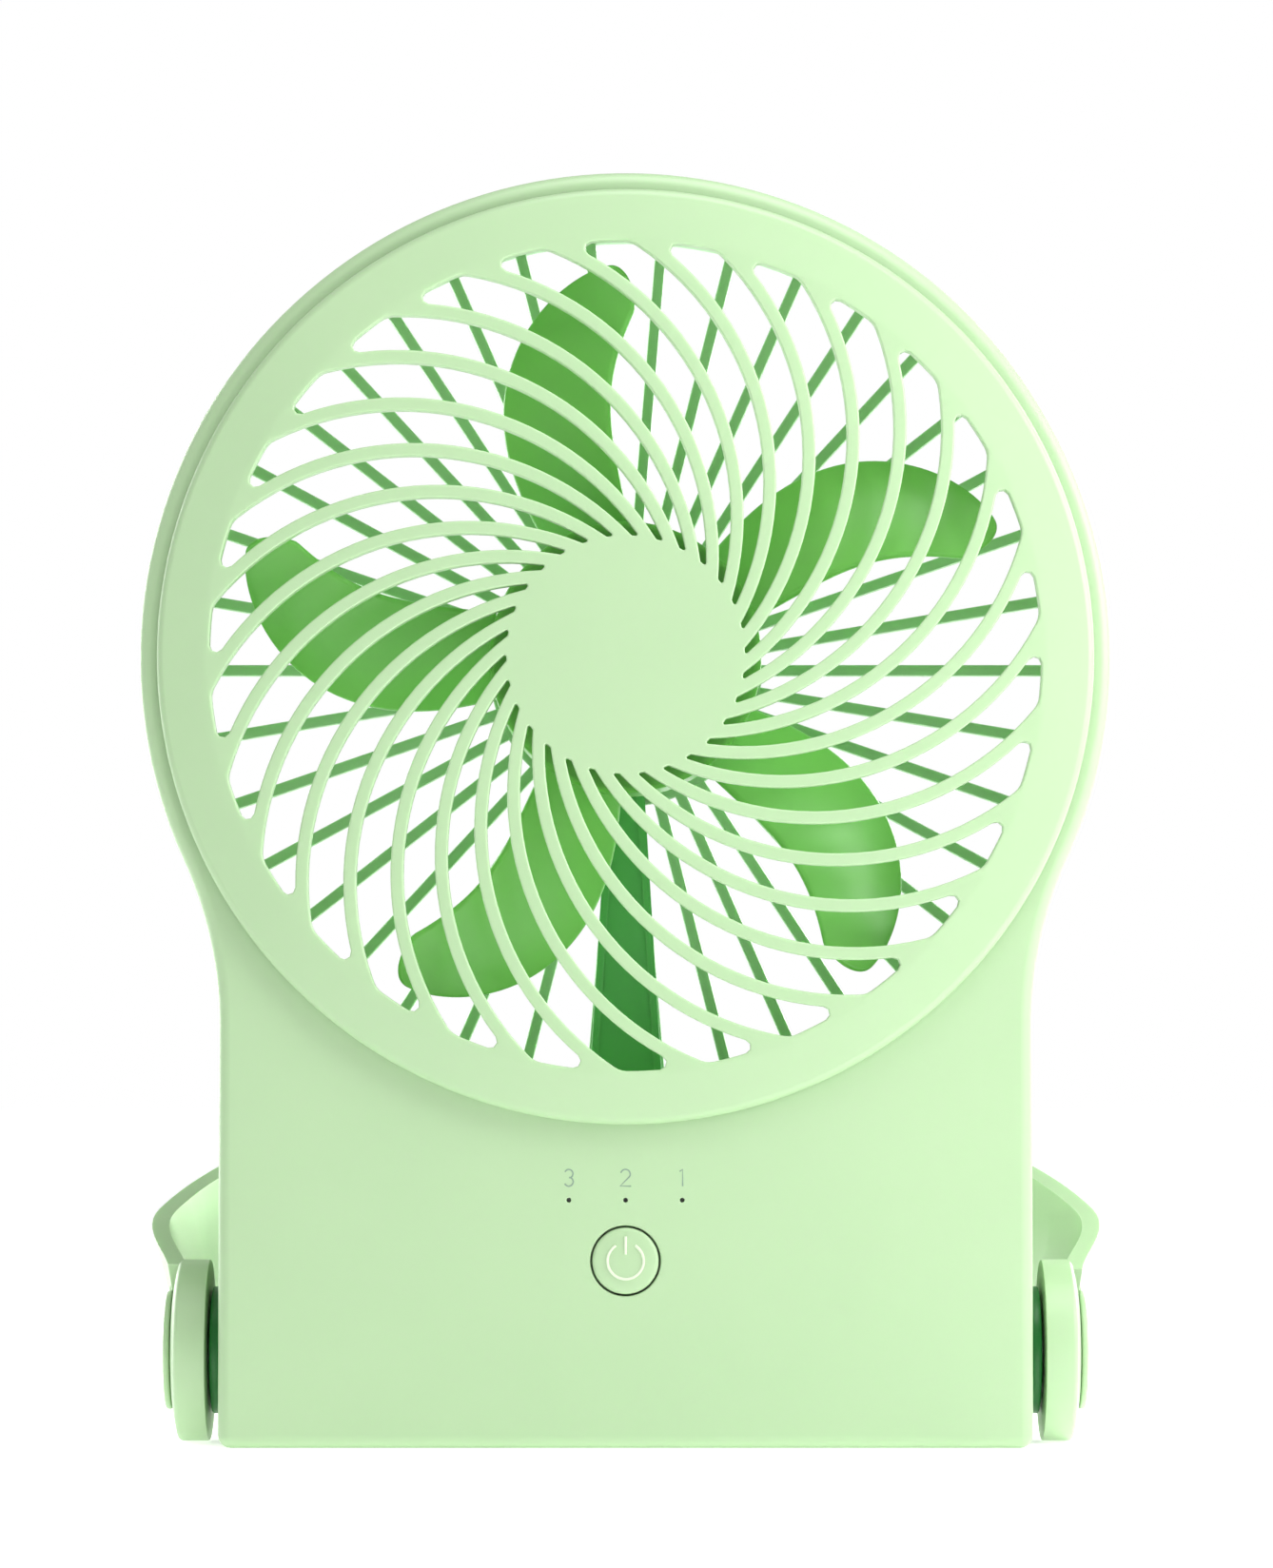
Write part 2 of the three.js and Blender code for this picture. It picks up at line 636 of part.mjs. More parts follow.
SCREW_POSTS.forEach(([x, z], i) => {
  addNode(`shell_screw_${i + 1}`, screw(x, z, SCREW_SEAT + GAP, 11, 2.2), steel);
});
[-1, 1].forEach((side, i) => {
  const seat = HALF_DEPTH - 1.2 + GAP;
  addNode(`motor_screw_${i + 1}`, screw(side * MOTOR_SCREW_RADIUS, HEAD_Z, seat, 4.5, 2.1), steel);
});

const boardBack = BOARD_FRONT + BOARD_THICK;
addNode("circuit_board", block(-22, 22, BOARD_FRONT, boardBack, BOARD_FOOT, BOARD_TOP), boardLacquer);
addNode("tact_switch", tactSwitch(), darkPlastic);
addNode("power_button", powerButton(), mintShell);
addNode("light_guide", block(-8.2, 8.2, -11.7, -9.7, LED_Z - 1.4, LED_Z + 1.4), clearGuide);
[-1, 0, 1].forEach((i) => {
  const x = i * LED_SPACING;
  const seat = BOARD_FRONT - GAP;
  addNode(`led_${2 - i}`, block(x - 0.8, x + 0.8, seat - 0.8, seat, LED_Z - 0.4, LED_Z + 0.4), clearGuide);
});
addNode("control_chip", block(10, 15, -10, BOARD_FRONT - GAP, 20, 24), darkPlastic);
addNode("inductor", rodY(2.6, -10.6, BOARD_FRONT - GAP, -14, 24, 16), darkPlastic);
addNode("battery_connector", block(-17, -11, boardBack + GAP, boardBack + 4.3, 27, 31.5), clearGuide);

addNode("battery_cell", batteryCell(), cellWrap);
[-1, 1].forEach((side) => {
  const from = side * (BATTERY_LENGTH / 2 + GAP);
  const to = side * (BATTERY_LENGTH / 2 + GAP + 0.4);
  const tab = block(
    Math.min(from, to), Math.max(from, to), BATTERY_Y - 3, BATTERY_Y + 3, BATTERY_Z - 3, BATTERY_Z + 7,
  );
  addNode(side < 0 ? "battery_tab_left" : "battery_tab_right", tab, nickel);
});
addNode("charging_board", block(-9, 9, 1.5, 11.6, PORT_Z - 3.1, PORT_Z - 1.9), boardLacquer);
addNode("charging_socket", chargingSocket(), steel);
const tongueBack = HALF_DEPTH - 1.2;
addNode("charging_tongue", block(-3.3, 3.3, tongueBack - 5.6, tongueBack, PORT_Z - 0.4, PORT_Z + 0.4), darkPlastic);

const stand = new THREE.Group();
stand.position.set(0, 0, PIVOT_Z);
stand.rotation.x = STAND_RAISE;
group.add(stand);
addNode("stand_loop", standLoop(), mintShell, stand);
[-1, 1].forEach((side) => {
  const end = side < 0 ? "left" : "right";
  addNode(`hub_cap_${end}`, hubCap(side), mintShell, stand);
  addNode(`pivot_pin_${end}`, pivotPin(side), steel);
  const washerX = HALF_WIDTH + GAP;
  const washer = ringX(WASHER_R, PIN_R + GAP, washerX, washerX + WASHER_THICK, PIVOT_Z, side);
  addNode(`pivot_washer_${end}`, washer, slippery);
  const clip = ringX(5, PIN_GROOVE_R + GAP, PIN_GROOVE_X + 0.2, PIN_END_X - 0.1, PIVOT_Z, side);
  addNode(`pivot_clip_${end}`, clip, steel);
});

export default group;
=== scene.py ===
# %% [markdown]
# # A handheld electric fan, piece by piece
# The fan is an assembly of injection-moulded shells, grilles and a spinning impeller. Its mechanical
# model is already packed: it fixes every size, place and joint. This lesson builds the fine surface of
# each piece round that frame, in the frame's own axes: +X right, -Y out of the front grille, +Z up.

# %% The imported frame
import json
import math

import bmesh
import bpy
from mathutils import Matrix, Vector


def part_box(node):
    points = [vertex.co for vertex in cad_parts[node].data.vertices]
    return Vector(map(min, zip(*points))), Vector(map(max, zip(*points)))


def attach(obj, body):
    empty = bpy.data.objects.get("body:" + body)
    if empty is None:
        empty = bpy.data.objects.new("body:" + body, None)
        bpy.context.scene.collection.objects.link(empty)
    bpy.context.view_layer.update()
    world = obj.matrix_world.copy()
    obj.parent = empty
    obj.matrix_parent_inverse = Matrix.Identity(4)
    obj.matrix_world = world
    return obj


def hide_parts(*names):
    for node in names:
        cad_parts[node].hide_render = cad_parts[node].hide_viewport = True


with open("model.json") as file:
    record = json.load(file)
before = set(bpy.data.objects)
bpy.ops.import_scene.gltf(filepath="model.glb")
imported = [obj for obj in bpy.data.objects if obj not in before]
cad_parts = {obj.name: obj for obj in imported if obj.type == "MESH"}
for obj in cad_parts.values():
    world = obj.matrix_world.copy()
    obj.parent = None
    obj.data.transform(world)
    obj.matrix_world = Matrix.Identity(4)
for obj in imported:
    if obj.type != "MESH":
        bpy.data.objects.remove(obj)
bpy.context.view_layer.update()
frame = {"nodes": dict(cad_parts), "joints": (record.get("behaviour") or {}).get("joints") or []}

# %% [markdown]
# ## Driving sizes
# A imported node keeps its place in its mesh, so its box gives the sizes that the visible pieces share with
# it. Shapes are drawn in millimetres, because the walls and edge roundings of a moulding are chosen in
# millimetres, and each finished mesh is scaled to metres once.

# %% Sizes read from the frame
MM = 0.001


def box_mm(node):
    """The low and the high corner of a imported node, in millimetres."""
    low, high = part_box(node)
    return low / MM, high / MM


def joint_point(name):
    """A point on the axis of a joint, in millimetres."""
    joint = next(j for j in frame["joints"] if j["name"] == name)
    return Vector(joint["pos_m"]) / MM


SHELL_LOW, SHELL_HIGH = box_mm("front_shell")
REAR_LOW, REAR_HIGH = box_mm("rear_shell")
GRILLE_LOW, GRILLE_HIGH = box_mm("front_grille")
BACK_LOW, BACK_HIGH = box_mm("rear_grille")
HEAD_Z = joint_point("impeller_spin").z
PIVOT_Z = joint_point("stand_tilt").z
GAP = 0.3
HEAD_R = SHELL_HIGH.z - HEAD_Z
HALF_WIDTH = box_mm("pivot_washer_right")[0].x - GAP
FRONT_Y = SHELL_LOW.y
SEAM_Y = SHELL_HIGH.y
BACK_Y = REAR_HIGH.y
RING_R = (GRILLE_HIGH.z - GRILLE_LOW.z) / 2
print(f"head radius {HEAD_R:.1f} mm, axis {HEAD_Z:.1f} mm up, body {2 * HALF_WIDTH:.1f} mm wide")

# %% [markdown]
# ## Colour and node helpers
# Colours are chosen as sRGB hex values, while the renderer works in linear light. One function
# turns the first into the second, and one adds a shader node with its settings and its links.


# %% Helpers for materials
def linear(hex_colour):
    """An sRGB hex colour as linear RGBA."""
    channels = [int(hex_colour[i:i + 2], 16) / 255 for i in (1, 3, 5)]
    return tuple(c / 12.92 if c <= 0.04045 else ((c + 0.055) / 1.055) ** 2.4 for c in channels) + (1.0,)


def add(tree, kind, settings, inputs):
    """A node with its settings. An input given as (node, output) is linked, and any other is set."""
    node = tree.nodes.new(kind)
    for name, value in settings.items():
        setattr(node, name, value)
    for name, value in inputs.items():
        if isinstance(value, tuple) and isinstance(value[0], bpy.types.Node):
            tree.links.new(value[0].outputs[value[1]], node.inputs[name])
        else:
            node.inputs[name].default_value = value
    return node


def start_material(name):
    """An empty node material: its tree, and the object's own coordinates in metres."""
    material = bpy.data.materials.new(name)
    material.use_nodes = True
    tree = material.node_tree
    tree.nodes.clear()
    place = add(tree, "ShaderNodeTexCoord", {}, {})
    return material, tree, (place, "Object")


def finish_material(tree, skin):
    """Sends a finished shader to the surface."""
    add(tree, "ShaderNodeOutputMaterial", {}, {"Surface": (skin, "BSDF")})


# %% [markdown]
# ## Moulded ABS
# The shells are injection-moulded ABS with a satin, very lightly spark-eroded tool surface. To the eye
# that is an even colour that drifts a little where the melt cooled at different rates, a soft broad
# highlight, and a fine grain. ABS has an IOR of about 1.54 and lets a little light in under its skin. The
# real grain is 0.1 mm across, too fine to show, so it is drawn about 0.35 mm.


# %% Moulded ABS in any colour
def moulded_abs(name, base, shade, edge, roughness=0.42, grain_mm=0.35, grain=0.05, depth=0.2):
    """Satin ABS: colour drift, fine grain, uneven gloss and a paler tone painted on the edges as a
    highlight.
    """
    material, tree, place = start_material(name)
    drift = add(tree, "ShaderNodeTexNoise", {}, {"Vector": place, "Scale": 1 / (28 * MM), "Detail": 2.0})
    tone = add(
        tree, "ShaderNodeMix", {"data_type": "RGBA"},
        {0: (drift, "Fac"), 6: linear(base), 7: linear(shade)},
    )
    speckle = add(
        tree, "ShaderNodeTexNoise", {},
        {"Vector": place, "Scale": 1 / (grain_mm * MM), "Detail": 3.0},
    )
    # Where the rounded normal parts from the true one, at edges, the colour is mixed toward the paler edge
    # tone: a painted highlight.
    softened = add(tree, "ShaderNodeBevel", {"samples": 4}, {"Radius": 0.3 * MM})
    flat = add(tree, "ShaderNodeNewGeometry", {}, {})
    agreement = add(
        tree, "ShaderNodeVectorMath", {"operation": "DOT_PRODUCT"},
        {0: (softened, "Normal"), 1: (flat, "Normal")},
    )
    painted_edge_highlight = add(
        tree, "ShaderNodeMapRange", {},
        {"Value": (agreement, "Value"), "From Min": 0.98, "From Max": 0.75, "To Min": 0.0, "To Max": 0.5},
    )
    colour = add(
        tree, "ShaderNodeMix", {"data_type": "RGBA"},
        {0: (painted_edge_highlight, "Result"), 6: (tone, 2), 7: linear(edge)},
    )
    gloss = add(
        tree, "ShaderNodeMapRange", {},
        {"Value": (speckle, "Fac"), "To Min": roughness - 0.06, "To Max": roughness + 0.06},
    )
    bump = add(
        tree, "ShaderNodeBump", {},
        {"Height": (speckle, "Fac"), "Strength": grain, "Distance": 0.05 * MM},
    )
    skin = add(tree, "ShaderNodeBsdfPrincipled", {}, {
        "Base Color": (colour, 2), "Roughness": (gloss, "Result"), "IOR": 1.54,
        "Normal": (bump, "Normal"),
        "Subsurface Weight": depth, "Subsurface Radius": (0.9, 1.6, 0.8), "Subsurface Scale": 1.0 * MM,
    })
    finish_material(tree, skin)
    return material


# The third colour given to each plastic is the paler tone painted on its edges as a highlight.
SHELL_ABS = moulded_abs("ABS, moulded, pale mint", "#B2CFA4", "#ABC99E", "#CCE2C0")
# The rear grille is the shell's mint plastic given a greener tint that stands in for the shade inside the
# duct: painted shade.
REAR_ABS_DUCT_SHADE = moulded_abs("ABS, moulded, mint tinted greener as painted duct shade", "#A4D09E", "#9BC995", "#C4E6BE", 0.45)
BLADE_ABS = moulded_abs("ABS, moulded, blade green", "#84CE5E", "#6FC058", "#9BDA84", 0.36, grain=0.02)
COVER_ABS = moulded_abs("ABS, moulded, deep green", "#5DB862", "#53AD58", "#86CC84", 0.5)
# The washers' green is darkened to stand in for the deep shade in the pivot gaps: painted shade.
WASHER_SHADE_PAINTED = moulded_abs(
    "acetal, moulded, green darkened as painted shade", "#1E8C3B", "#1A7F35", "#46A45A", 0.38, grain=0.02,
)
NYLON_BLACK = moulded_abs("nylon, moulded, black", "#26282A", "#1F2123", "#3C3F42", 0.55, depth=0.0)
RESIN_WHITE = moulded_abs("polyamide, moulded, off-white", "#E7E4D6", "#DCD8C8", "#F2F0E6", 0.4)
print("plastics made:", len(bpy.data.materials))

# %% [markdown]
# ## Metals, board, cell and ink
# Steel and nickel are conductors, so their colour is in the reflection; drawn and plated parts carry fine
# streaks along the draw. The board is glass-fibre laminate under green solder mask, the cell wears a
# shrink sleeve, the leads are soft PVC, and the numerals are pad-printed ink.


# %% Plated steel and the other small finishes
def plated_metal(name, base, roughness, streak_mm, stretch):
    """A plated or drawn metal with streaks stretched along one axis."""
    material, tree, place = start_material(name)
    turned = add(tree, "ShaderNodeMapping", {}, {"Vector": place, "Scale": stretch})
    streaks = add(
        tree, "ShaderNodeTexNoise", {},
        {"Vector": (turned, "Vector"), "Scale": 1 / (streak_mm * MM), "Detail": 4.0},
    )
    tone = add(
        tree, "ShaderNodeMix", {"data_type": "RGBA"},
        {0: (streaks, "Fac"), 6: linear(base), 7: linear("#9FA1A4")},
    )
    gloss = add(
        tree, "ShaderNodeMapRange", {},
        {"Value": (streaks, "Fac"), "To Min": roughness - 0.08, "To Max": roughness + 0.1},
    )
    bump = add(
        tree, "ShaderNodeBump", {},
        {"Height": (streaks, "Fac"), "Strength": 0.08, "Distance": 0.02 * MM},
    )
    skin = add(tree, "ShaderNodeBsdfPrincipled", {}, {
        "Base Color": (tone, 2), "Metallic": 1.0, "Roughness": (gloss, "Result"),
        "Normal": (bump, "Normal"),
    })
    finish_material(tree, skin)
    return material


def coated(name, base, shade, roughness, patch_mm, through=0.0):
    """A lacquer, sleeve, ink or clear moulding whose colour wanders over patches of a given size."""
    material, tree, place = start_material(name)
    patches = add(
        tree, "ShaderNodeTexNoise", {},
        {"Vector": place, "Scale": 1 / (patch_mm * MM), "Detail": 3.0},
    )
    tone = add(
        tree, "ShaderNodeMix", {"data_type": "RGBA"},
        {0: (patches, "Fac"), 6: linear(base), 7: linear(shade)},
    )
    gloss = add(
        tree, "ShaderNodeMapRange", {},
        {"Value": (patches, "Fac"), "To Min": roughness - 0.05, "To Max": roughness + 0.05},
    )
    bump = add(
        tree, "ShaderNodeBump", {},
        {"Height": (patches, "Fac"), "Strength": 0.05, "Distance": 0.03 * MM},
    )
    skin = add(tree, "ShaderNodeBsdfPrincipled", {}, {
        "Base Color": (tone, 2), "Roughness": (gloss, "Result"), "IOR": 1.5,
        "Normal": (bump, "Normal"), "Transmission Weight": through,
    })
    finish_material(tree, skin)
    return material


STEEL_ZINC = plated_metal("steel, zinc-plated", "#C4C6C8", 0.32, 0.5, (1, 1, 1))
STEEL_DRAWN = plated_metal("steel, drawn can", "#C9CACC", 0.28, 0.3, (1, 0.1, 1))
STEEL_BRIGHT = plated_metal("steel, bright nickel plate", "#D2D1CC", 0.22, 0.4, (1, 1, 1))
NICKEL_STRIP = plated_metal("nickel strip, rolled", "#CFCBC1", 0.35, 0.3, (1, 1, 0.1))
BOARD_MASK = coated("glass-fibre board, green solder mask", "#1C5B36", "#17502F", 0.35, 1.2)
CELL_SLEEVE = coated("PET shrink sleeve, blue", "#356AAE", "#2F60A2", 0.3, 9.0)
LEAD_RED = coated("PVC insulation, red", "#B92F28", "#A92A24", 0.45, 2.0)
LEAD_BLACK = coated("PVC insulation, black", "#222224", "#1A1A1C", 0.45, 2.0)
ACRYLIC = coated("acrylic, moulded clear", "#F2F8F0", "#ECF4EA", 0.12, 5.0, through=0.9)
INK_GREY = coated("pad-printing ink, grey green", "#869F8D", "#7E9786", 0.5, 0.4)
INK_CREAM = coated("pad-printing ink, cream", "#DCEBCF", "#D5E6C8", 0.4, 0.6)
print("materials made:", len(bpy.data.materials))

# %% [markdown]
# ## Mesh helpers
# A moulding is easiest to draw as its outline, thickened; a turned part as a profile, spun; and holes are
# cut with the Boolean modifier on closed meshes. A finished piece gets smooth shading broken at its sharp
# edges, is scaled to metres, and rides on its body.


# %% Outlines, spins and cuts
def arc(cx, cz, radius, start, end, step=2.0):
    """Points along an arc in the XZ plane, angles in degrees, both ends included."""
    count = max(1, math.ceil(abs(end - start) / step))
    angles = [math.radians(start + (end - start) * i / count) for i in range(count + 1)]
    return [(cx + radius * math.cos(a), cz + radius * math.sin(a)) for a in angles]


def slab(points, front, back):
    """A closed outline in XZ made into a solid from y = front to y = back."""
    bm = bmesh.new()
    face = bm.faces.new([bm.verts.new((x, front, z)) for x, z in points])
    grown = bmesh.ops.extrude_face_region(bm, geom=[face])
    moved = [v for v in grown["geom"] if isinstance(v, bmesh.types.BMVert)]
    bmesh.ops.translate(bm, verts=moved, vec=(0, back - front, 0))
    bmesh.ops.recalc_face_normals(bm, faces=bm.faces)
    return bm


def spun(profile, axis, centre, steps=96):
    """A (radius, along) profile spun a full turn about an axis, closed on itself or on the axis."""
    along, out = Vector(axis), Vector((0, 0, 1))
    bm = bmesh.new()
    rim = [bm.verts.new(Vector(centre) + along * a + out * r) for r, a in profile]
    edges = [bm.edges.new(pair) for pair in zip(rim, rim[1:])]
    if profile[0][0] > 0:
        edges.append(bm.edges.new((rim[-1], rim[0])))
    bmesh.ops.spin(
        bm, geom=rim + edges, cent=centre, axis=along, angle=math.tau, steps=steps, use_merge=True,
    )
    bmesh.ops.remove_doubles(bm, verts=bm.verts, dist=1e-4)
    bmesh.ops.recalc_face_normals(bm, faces=bm.faces)
    return bm


def rounded(corners, radius, segments=3):
    """A profile of corner points with each inner corner turned into a short arc."""
    points = [corners[0]]
    for before, here, after in zip(corners, corners[1:], corners[2:]):
        p, q, r = Vector(before), Vector(here), Vector(after)
        reach = min(radius, (p - q).length * 0.45, (r - q).length * 0.45)
        start, end = q + (p - q).normalized() * reach, q + (r - q).normalized() * reach
        for i in range(segments + 1):
            t = i / segments
            points.append(tuple((1 - t) ** 2 * start + 2 * t * (1 - t) * q + t * t * end))
    return points + [corners[-1]]


def combined(base, tool, operation):
    """Joins two closed meshes, or cuts the second from the first."""
    hosts = []
    for bm in (base, tool):
        mesh = bpy.data.meshes.new("work")
        bm.to_mesh(mesh)
        bm.free()
        host = bpy.data.objects.new("work", mesh)
        bpy.context.scene.collection.objects.link(host)
        hosts.append(host)
    cut = hosts[0].modifiers.new("cut", "BOOLEAN")
    cut.object = hosts[1]
    cut.operation = operation
    cut.solver = "MANIFOLD"
    result = bmesh.new()
    result.from_object(hosts[0], bpy.context.evaluated_depsgraph_get())
    for host in hosts:
        bpy.data.meshes.remove(host.data)
    return result


def together(parts):
    """Several separate meshes in one, for a cut or a join in one go."""
    whole = bmesh.new()
    for bm in parts:
        mesh = bpy.data.meshes.new("work")
        bm.to_mesh(mesh)
        bm.free()
        whole.from_mesh(mesh)
        bpy.data.meshes.remove(mesh)
    return whole


def turned_y(bm, degrees):
    """Turns a mesh clockwise about the Y axis, as the front is seen."""
    turn = Matrix.Rotation(-math.radians(degrees), 3, "Y")
    bmesh.ops.rotate(bm, verts=bm.verts, cent=(0, 0, 0), matrix=turn)
    return bm


# %% Finishing a piece
def finish_piece(bm, name, body, material, nodes=(), sharp=32.0):
    """Turns a drawn mesh into a shown piece: metres, shading, finish, body and the nodes it stands for."""
    bmesh.ops.recalc_face_normals(bm, faces=bm.faces)
    bmesh.ops.scale(bm, vec=(MM, MM, MM), verts=bm.verts)
    for face in bm.faces:
        face.smooth = True
    for edge in bm.edges:
        edge.smooth = edge.calc_face_angle(0.0) < math.radians(sharp)
    open_edges = sum(1 for edge in bm.edges if not edge.is_manifold)
    mesh = bpy.data.meshes.new(name)
    bm.to_mesh(mesh)
    bm.free()
    mesh.materials.append(material)
    piece = bpy.data.objects.new(name, mesh)
    bpy.context.scene.collection.objects.link(piece)
    weighted = piece.modifiers.new("even shading", "WEIGHTED_NORMAL")
    weighted.keep_sharp = True
    weighted.weight = 80
    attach(piece, body)
    if nodes:
        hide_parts(*nodes)
    print(f"{name}: {len(mesh.polygons)} faces, {open_edges} open edges")
    return piece


# %% [markdown]
# ## The body shells
# The two shells share one outline: a flat base with small corners, straight sides, a concave neck and the
# round head. The front shell is deep and the rear one a shallow lid. Each is its outline made thick, with
# the outer edge rounded, hollowed by the same outline drawn smaller, with a short air duct left standing
# round the opening. A sculpted surface would only blur what is a plain, crisp moulding.

# %% The shared outline
NECK_R = 46.0
CORNER_R = 1.5
WALL = 2.0
FRONT_EDGE_R = 1.5
REAR_EDGE_R = 1.0
DUCT_R = (BACK_HIGH.z - BACK_LOW.z) / 2 + GAP
DUCT_WALL = 1.8
NECK_X = HALF_WIDTH + NECK_R
NECK_Z = HEAD_Z - math.sqrt((HEAD_R + NECK_R) ** 2 - NECK_X**2)
NECK_TURN = math.degrees(math.atan2(HEAD_Z - NECK_Z, NECK_X))


def body_outline(inset, step=2.0):
    """The body's outline, moved inwards by inset."""
    half = HALF_WIDTH - inset
    corner = max(CORNER_R - inset, 0.3)
    return (
        arc(half - corner, inset + corner, corner, -90, 0, 15)
        + arc(NECK_X, NECK_Z, NECK_R + inset, 180, 180 - NECK_TURN, step)
        + arc(0, HEAD_Z, HEAD_R - inset, -NECK_TURN, 180 + NECK_TURN, step)[1:-1]
        + arc(-NECK_X, NECK_Z, NECK_R + inset, NECK_TURN, 0, step)
        + arc(-half + corner, inset + corner, corner, 180, 270, 15)
    )


def round_edges(bm, chosen, radius, segments):
    """Rounds the chosen edges of a mesh."""
    bmesh.ops.bevel(
        bm, geom=chosen, offset=radius, segments=segments, profile=0.5, affect="EDGES",
        offset_type="OFFSET", material=-1, clamp_overlap=True,
    )
    return bm


def edges_at(bm, y):
    """Edges that lie in the plane at this y."""
    return [e for e in bm.edges if all(abs(v.co.y - y) < 1e-3 for v in e.verts)]


def half_shell(outer_y, seam_y, edge):
    """One hollow shell from its outer face, rounded by edge, to the seam, with the duct through it."""
    inward = 1 if seam_y > outer_y else -1
    low, high = sorted((outer_y, seam_y))
    shell = slab(body_outline(0), low, high)
    round_edges(shell, edges_at(shell, outer_y), edge, 7)
    round_edges(shell, edges_at(shell, seam_y), 0.25, 2)
    room = sorted((outer_y + inward * WALL, seam_y + inward))
    shell = combined(shell, slab(body_outline(WALL), *room), "DIFFERENCE")
    duct = sorted((outer_y + inward, seam_y - 0.05 * inward))
    outside = DUCT_R + DUCT_WALL
    section = [(DUCT_R, duct[0]), (outside, duct[0]), (outside, duct[1]), (DUCT_R, duct[1])]
    walls = spun(section, (0, 1, 0), (0, 0, HEAD_Z), 180)
    shell = combined(shell, walls, "UNION")
    section = [(0, low - 2), (DUCT_R, low - 2), (DUCT_R, high + 2), (0, high + 2)]
    air = spun(section, (0, 1, 0), (0, 0, HEAD_Z), 180)
    return combined(shell, air, "DIFFERENCE")


def flared_hole(radius, flare, mouth_y, deep_y, x, z, steps=48):
    """A cutter for a round hole whose mouth is softly rounded."""
    into = 1 if deep_y > mouth_y else -1
    profile = [(0, mouth_y - into), (radius + flare, mouth_y - into), (radius + flare, mouth_y)]
    for i in range(1, 5):
        a = math.radians(90 * i / 4)
        profile.append((radius + flare * (1 - math.sin(a)), mouth_y + into * flare * (1 - math.cos(a))))
    profile += [(radius, deep_y), (0, deep_y)]
    return spun(profile, (0, 1, 0), (x, 0, z), steps)


# %% Front shell with its button and lamp holes
BUTTON_Z = (box_mm("power_button")[0].z + box_mm("power_button")[1].z) / 2
BUTTON_HOLE_R = 4.1
LAMP_Z = (box_mm("led_2")[0].z + box_mm("led_2")[1].z) / 2
LAMP_SPACING = box_mm("led_1")[0].x - box_mm("led_2")[0].x
LAMP_HOLE_R = 0.27
PIN_BORE_R = 3.3

front = half_shell(FRONT_Y, SEAM_Y, FRONT_EDGE_R)
cutters = [flared_hole(BUTTON_HOLE_R, 0.22, FRONT_Y, FRONT_Y + 4, 0, BUTTON_Z, 72)]
for i in (-1, 0, 1):
    cutters.append(flared_hole(LAMP_HOLE_R, 0.12, FRONT_Y, FRONT_Y + 4, i * LAMP_SPACING, LAMP_Z, 24))
for side in (-1, 1):
    bore = [(0, 44), (PIN_BORE_R, 44), (PIN_BORE_R, 49), (0, 49)]
    cutters.append(spun(bore, (side, 0, 0), (0, 0, PIVOT_Z), 40))
front = combined(front, together(cutters), "DIFFERENCE")
finish_piece(front, "front_shell_skin", "body", SHELL_ABS, ["front_shell"])

# %% [markdown]
# ## The front grille
# One moulding: a ring that stands proud of the body and falls away a little outwards, a plain centre
# disc, and thirty ribs that leave the disc in a swirl. Every rib is the same circular arc, so the thirty
# slots between them are alike. Each slot is bounded by two rib arcs, the disc and the opening, with
# fillets where they meet. It is drawn as a chain of arcs about fixed centres: growing the slot by d only
# changes each radius by d, so a stack of grown outlines gives the cutter a rounded lip, and the lip
# becomes the soft edge of every rib.

# %% One slot as a chain of arcs
RIB_COUNT = 30
RIB_HALF = 0.75
RIB_ARC_R = 34.3
RIB_ARC_OFFSET = 26.7
RIB_ARC_TURN = 106.8
DISC_R = 13.9
OPENING_R = 48.5
PITCH = 360 / RIB_COUNT


def rib_centre(k):
    """Centre of rib k's arc, seen from the impeller axis."""
    a = math.radians(RIB_ARC_TURN + k * PITCH)
    return Vector((RIB_ARC_OFFSET * math.cos(a), RIB_ARC_OFFSET * math.sin(a)))


def meeting(centre, reach, radius):
    """The point at `radius` from the axis and at `reach` from centre, on the clockwise side of centre."""
    d = centre.length
    turn = math.acos((radius**2 + d**2 - reach**2) / (2 * d * radius))
    a = math.atan2(centre.y, centre.x) - turn
    return Vector((radius * math.cos(a), radius * math.sin(a)))


def slot_arcs(inner_fillet=0.18, bend=2.6, nose=0.8):
    """Arcs (centre, radius, start, end, growth) round the slot from rib 0 to rib 1, counter-clockwise."""
    near, far = rib_centre(0), rib_centre(1)
    near_r, far_r = RIB_ARC_R - RIB_HALF, RIB_ARC_R + RIB_HALF
    axis = Vector((0.0, 0.0))
    corner_a = meeting(near, near_r - inner_fillet, DISC_R + inner_fillet)
    corner_b = meeting(far, far_r + inner_fillet, DISC_R + inner_fillet)
    corner_c = meeting(far, far_r + nose, OPENING_R - nose)
    corner_d = meeting(near, near_r - bend, OPENING_R - bend)

    def heading(origin, point):
        return math.degrees(math.atan2(point.y - origin.y, point.x - origin.x))

    def turned(start, end, ccw):
        while ccw and end < start:
            end += 360
        while not ccw and end > start:
            end -= 360
        return start, end

    def side(origin, radius, p, q, ccw, growth):
        return (origin, radius, *turned(heading(origin, p), heading(origin, q), ccw), growth)

    def fillet(centre, radius, p_angle, q_angle):
        return (centre, radius, *turned(p_angle, q_angle, True), 1)

    return [
        side(near, near_r, corner_a, corner_d, True, 1),
        fillet(corner_d, bend, heading(near, corner_d), heading(axis, corner_d)),
        side(axis, OPENING_R, corner_d, corner_c, True, 1),
        fillet(corner_c, nose, heading(axis, corner_c), heading(corner_c, far)),
        side(far, far_r, corner_c, corner_b, False, -1),
        fillet(corner_b, inner_fillet, heading(corner_b, far), heading(corner_b, axis)),
        side(axis, DISC_R, corner_b, corner_a, False, -1),
        fillet(corner_a, inner_fillet, heading(corner_a, axis), heading(near, corner_a)),
    ]


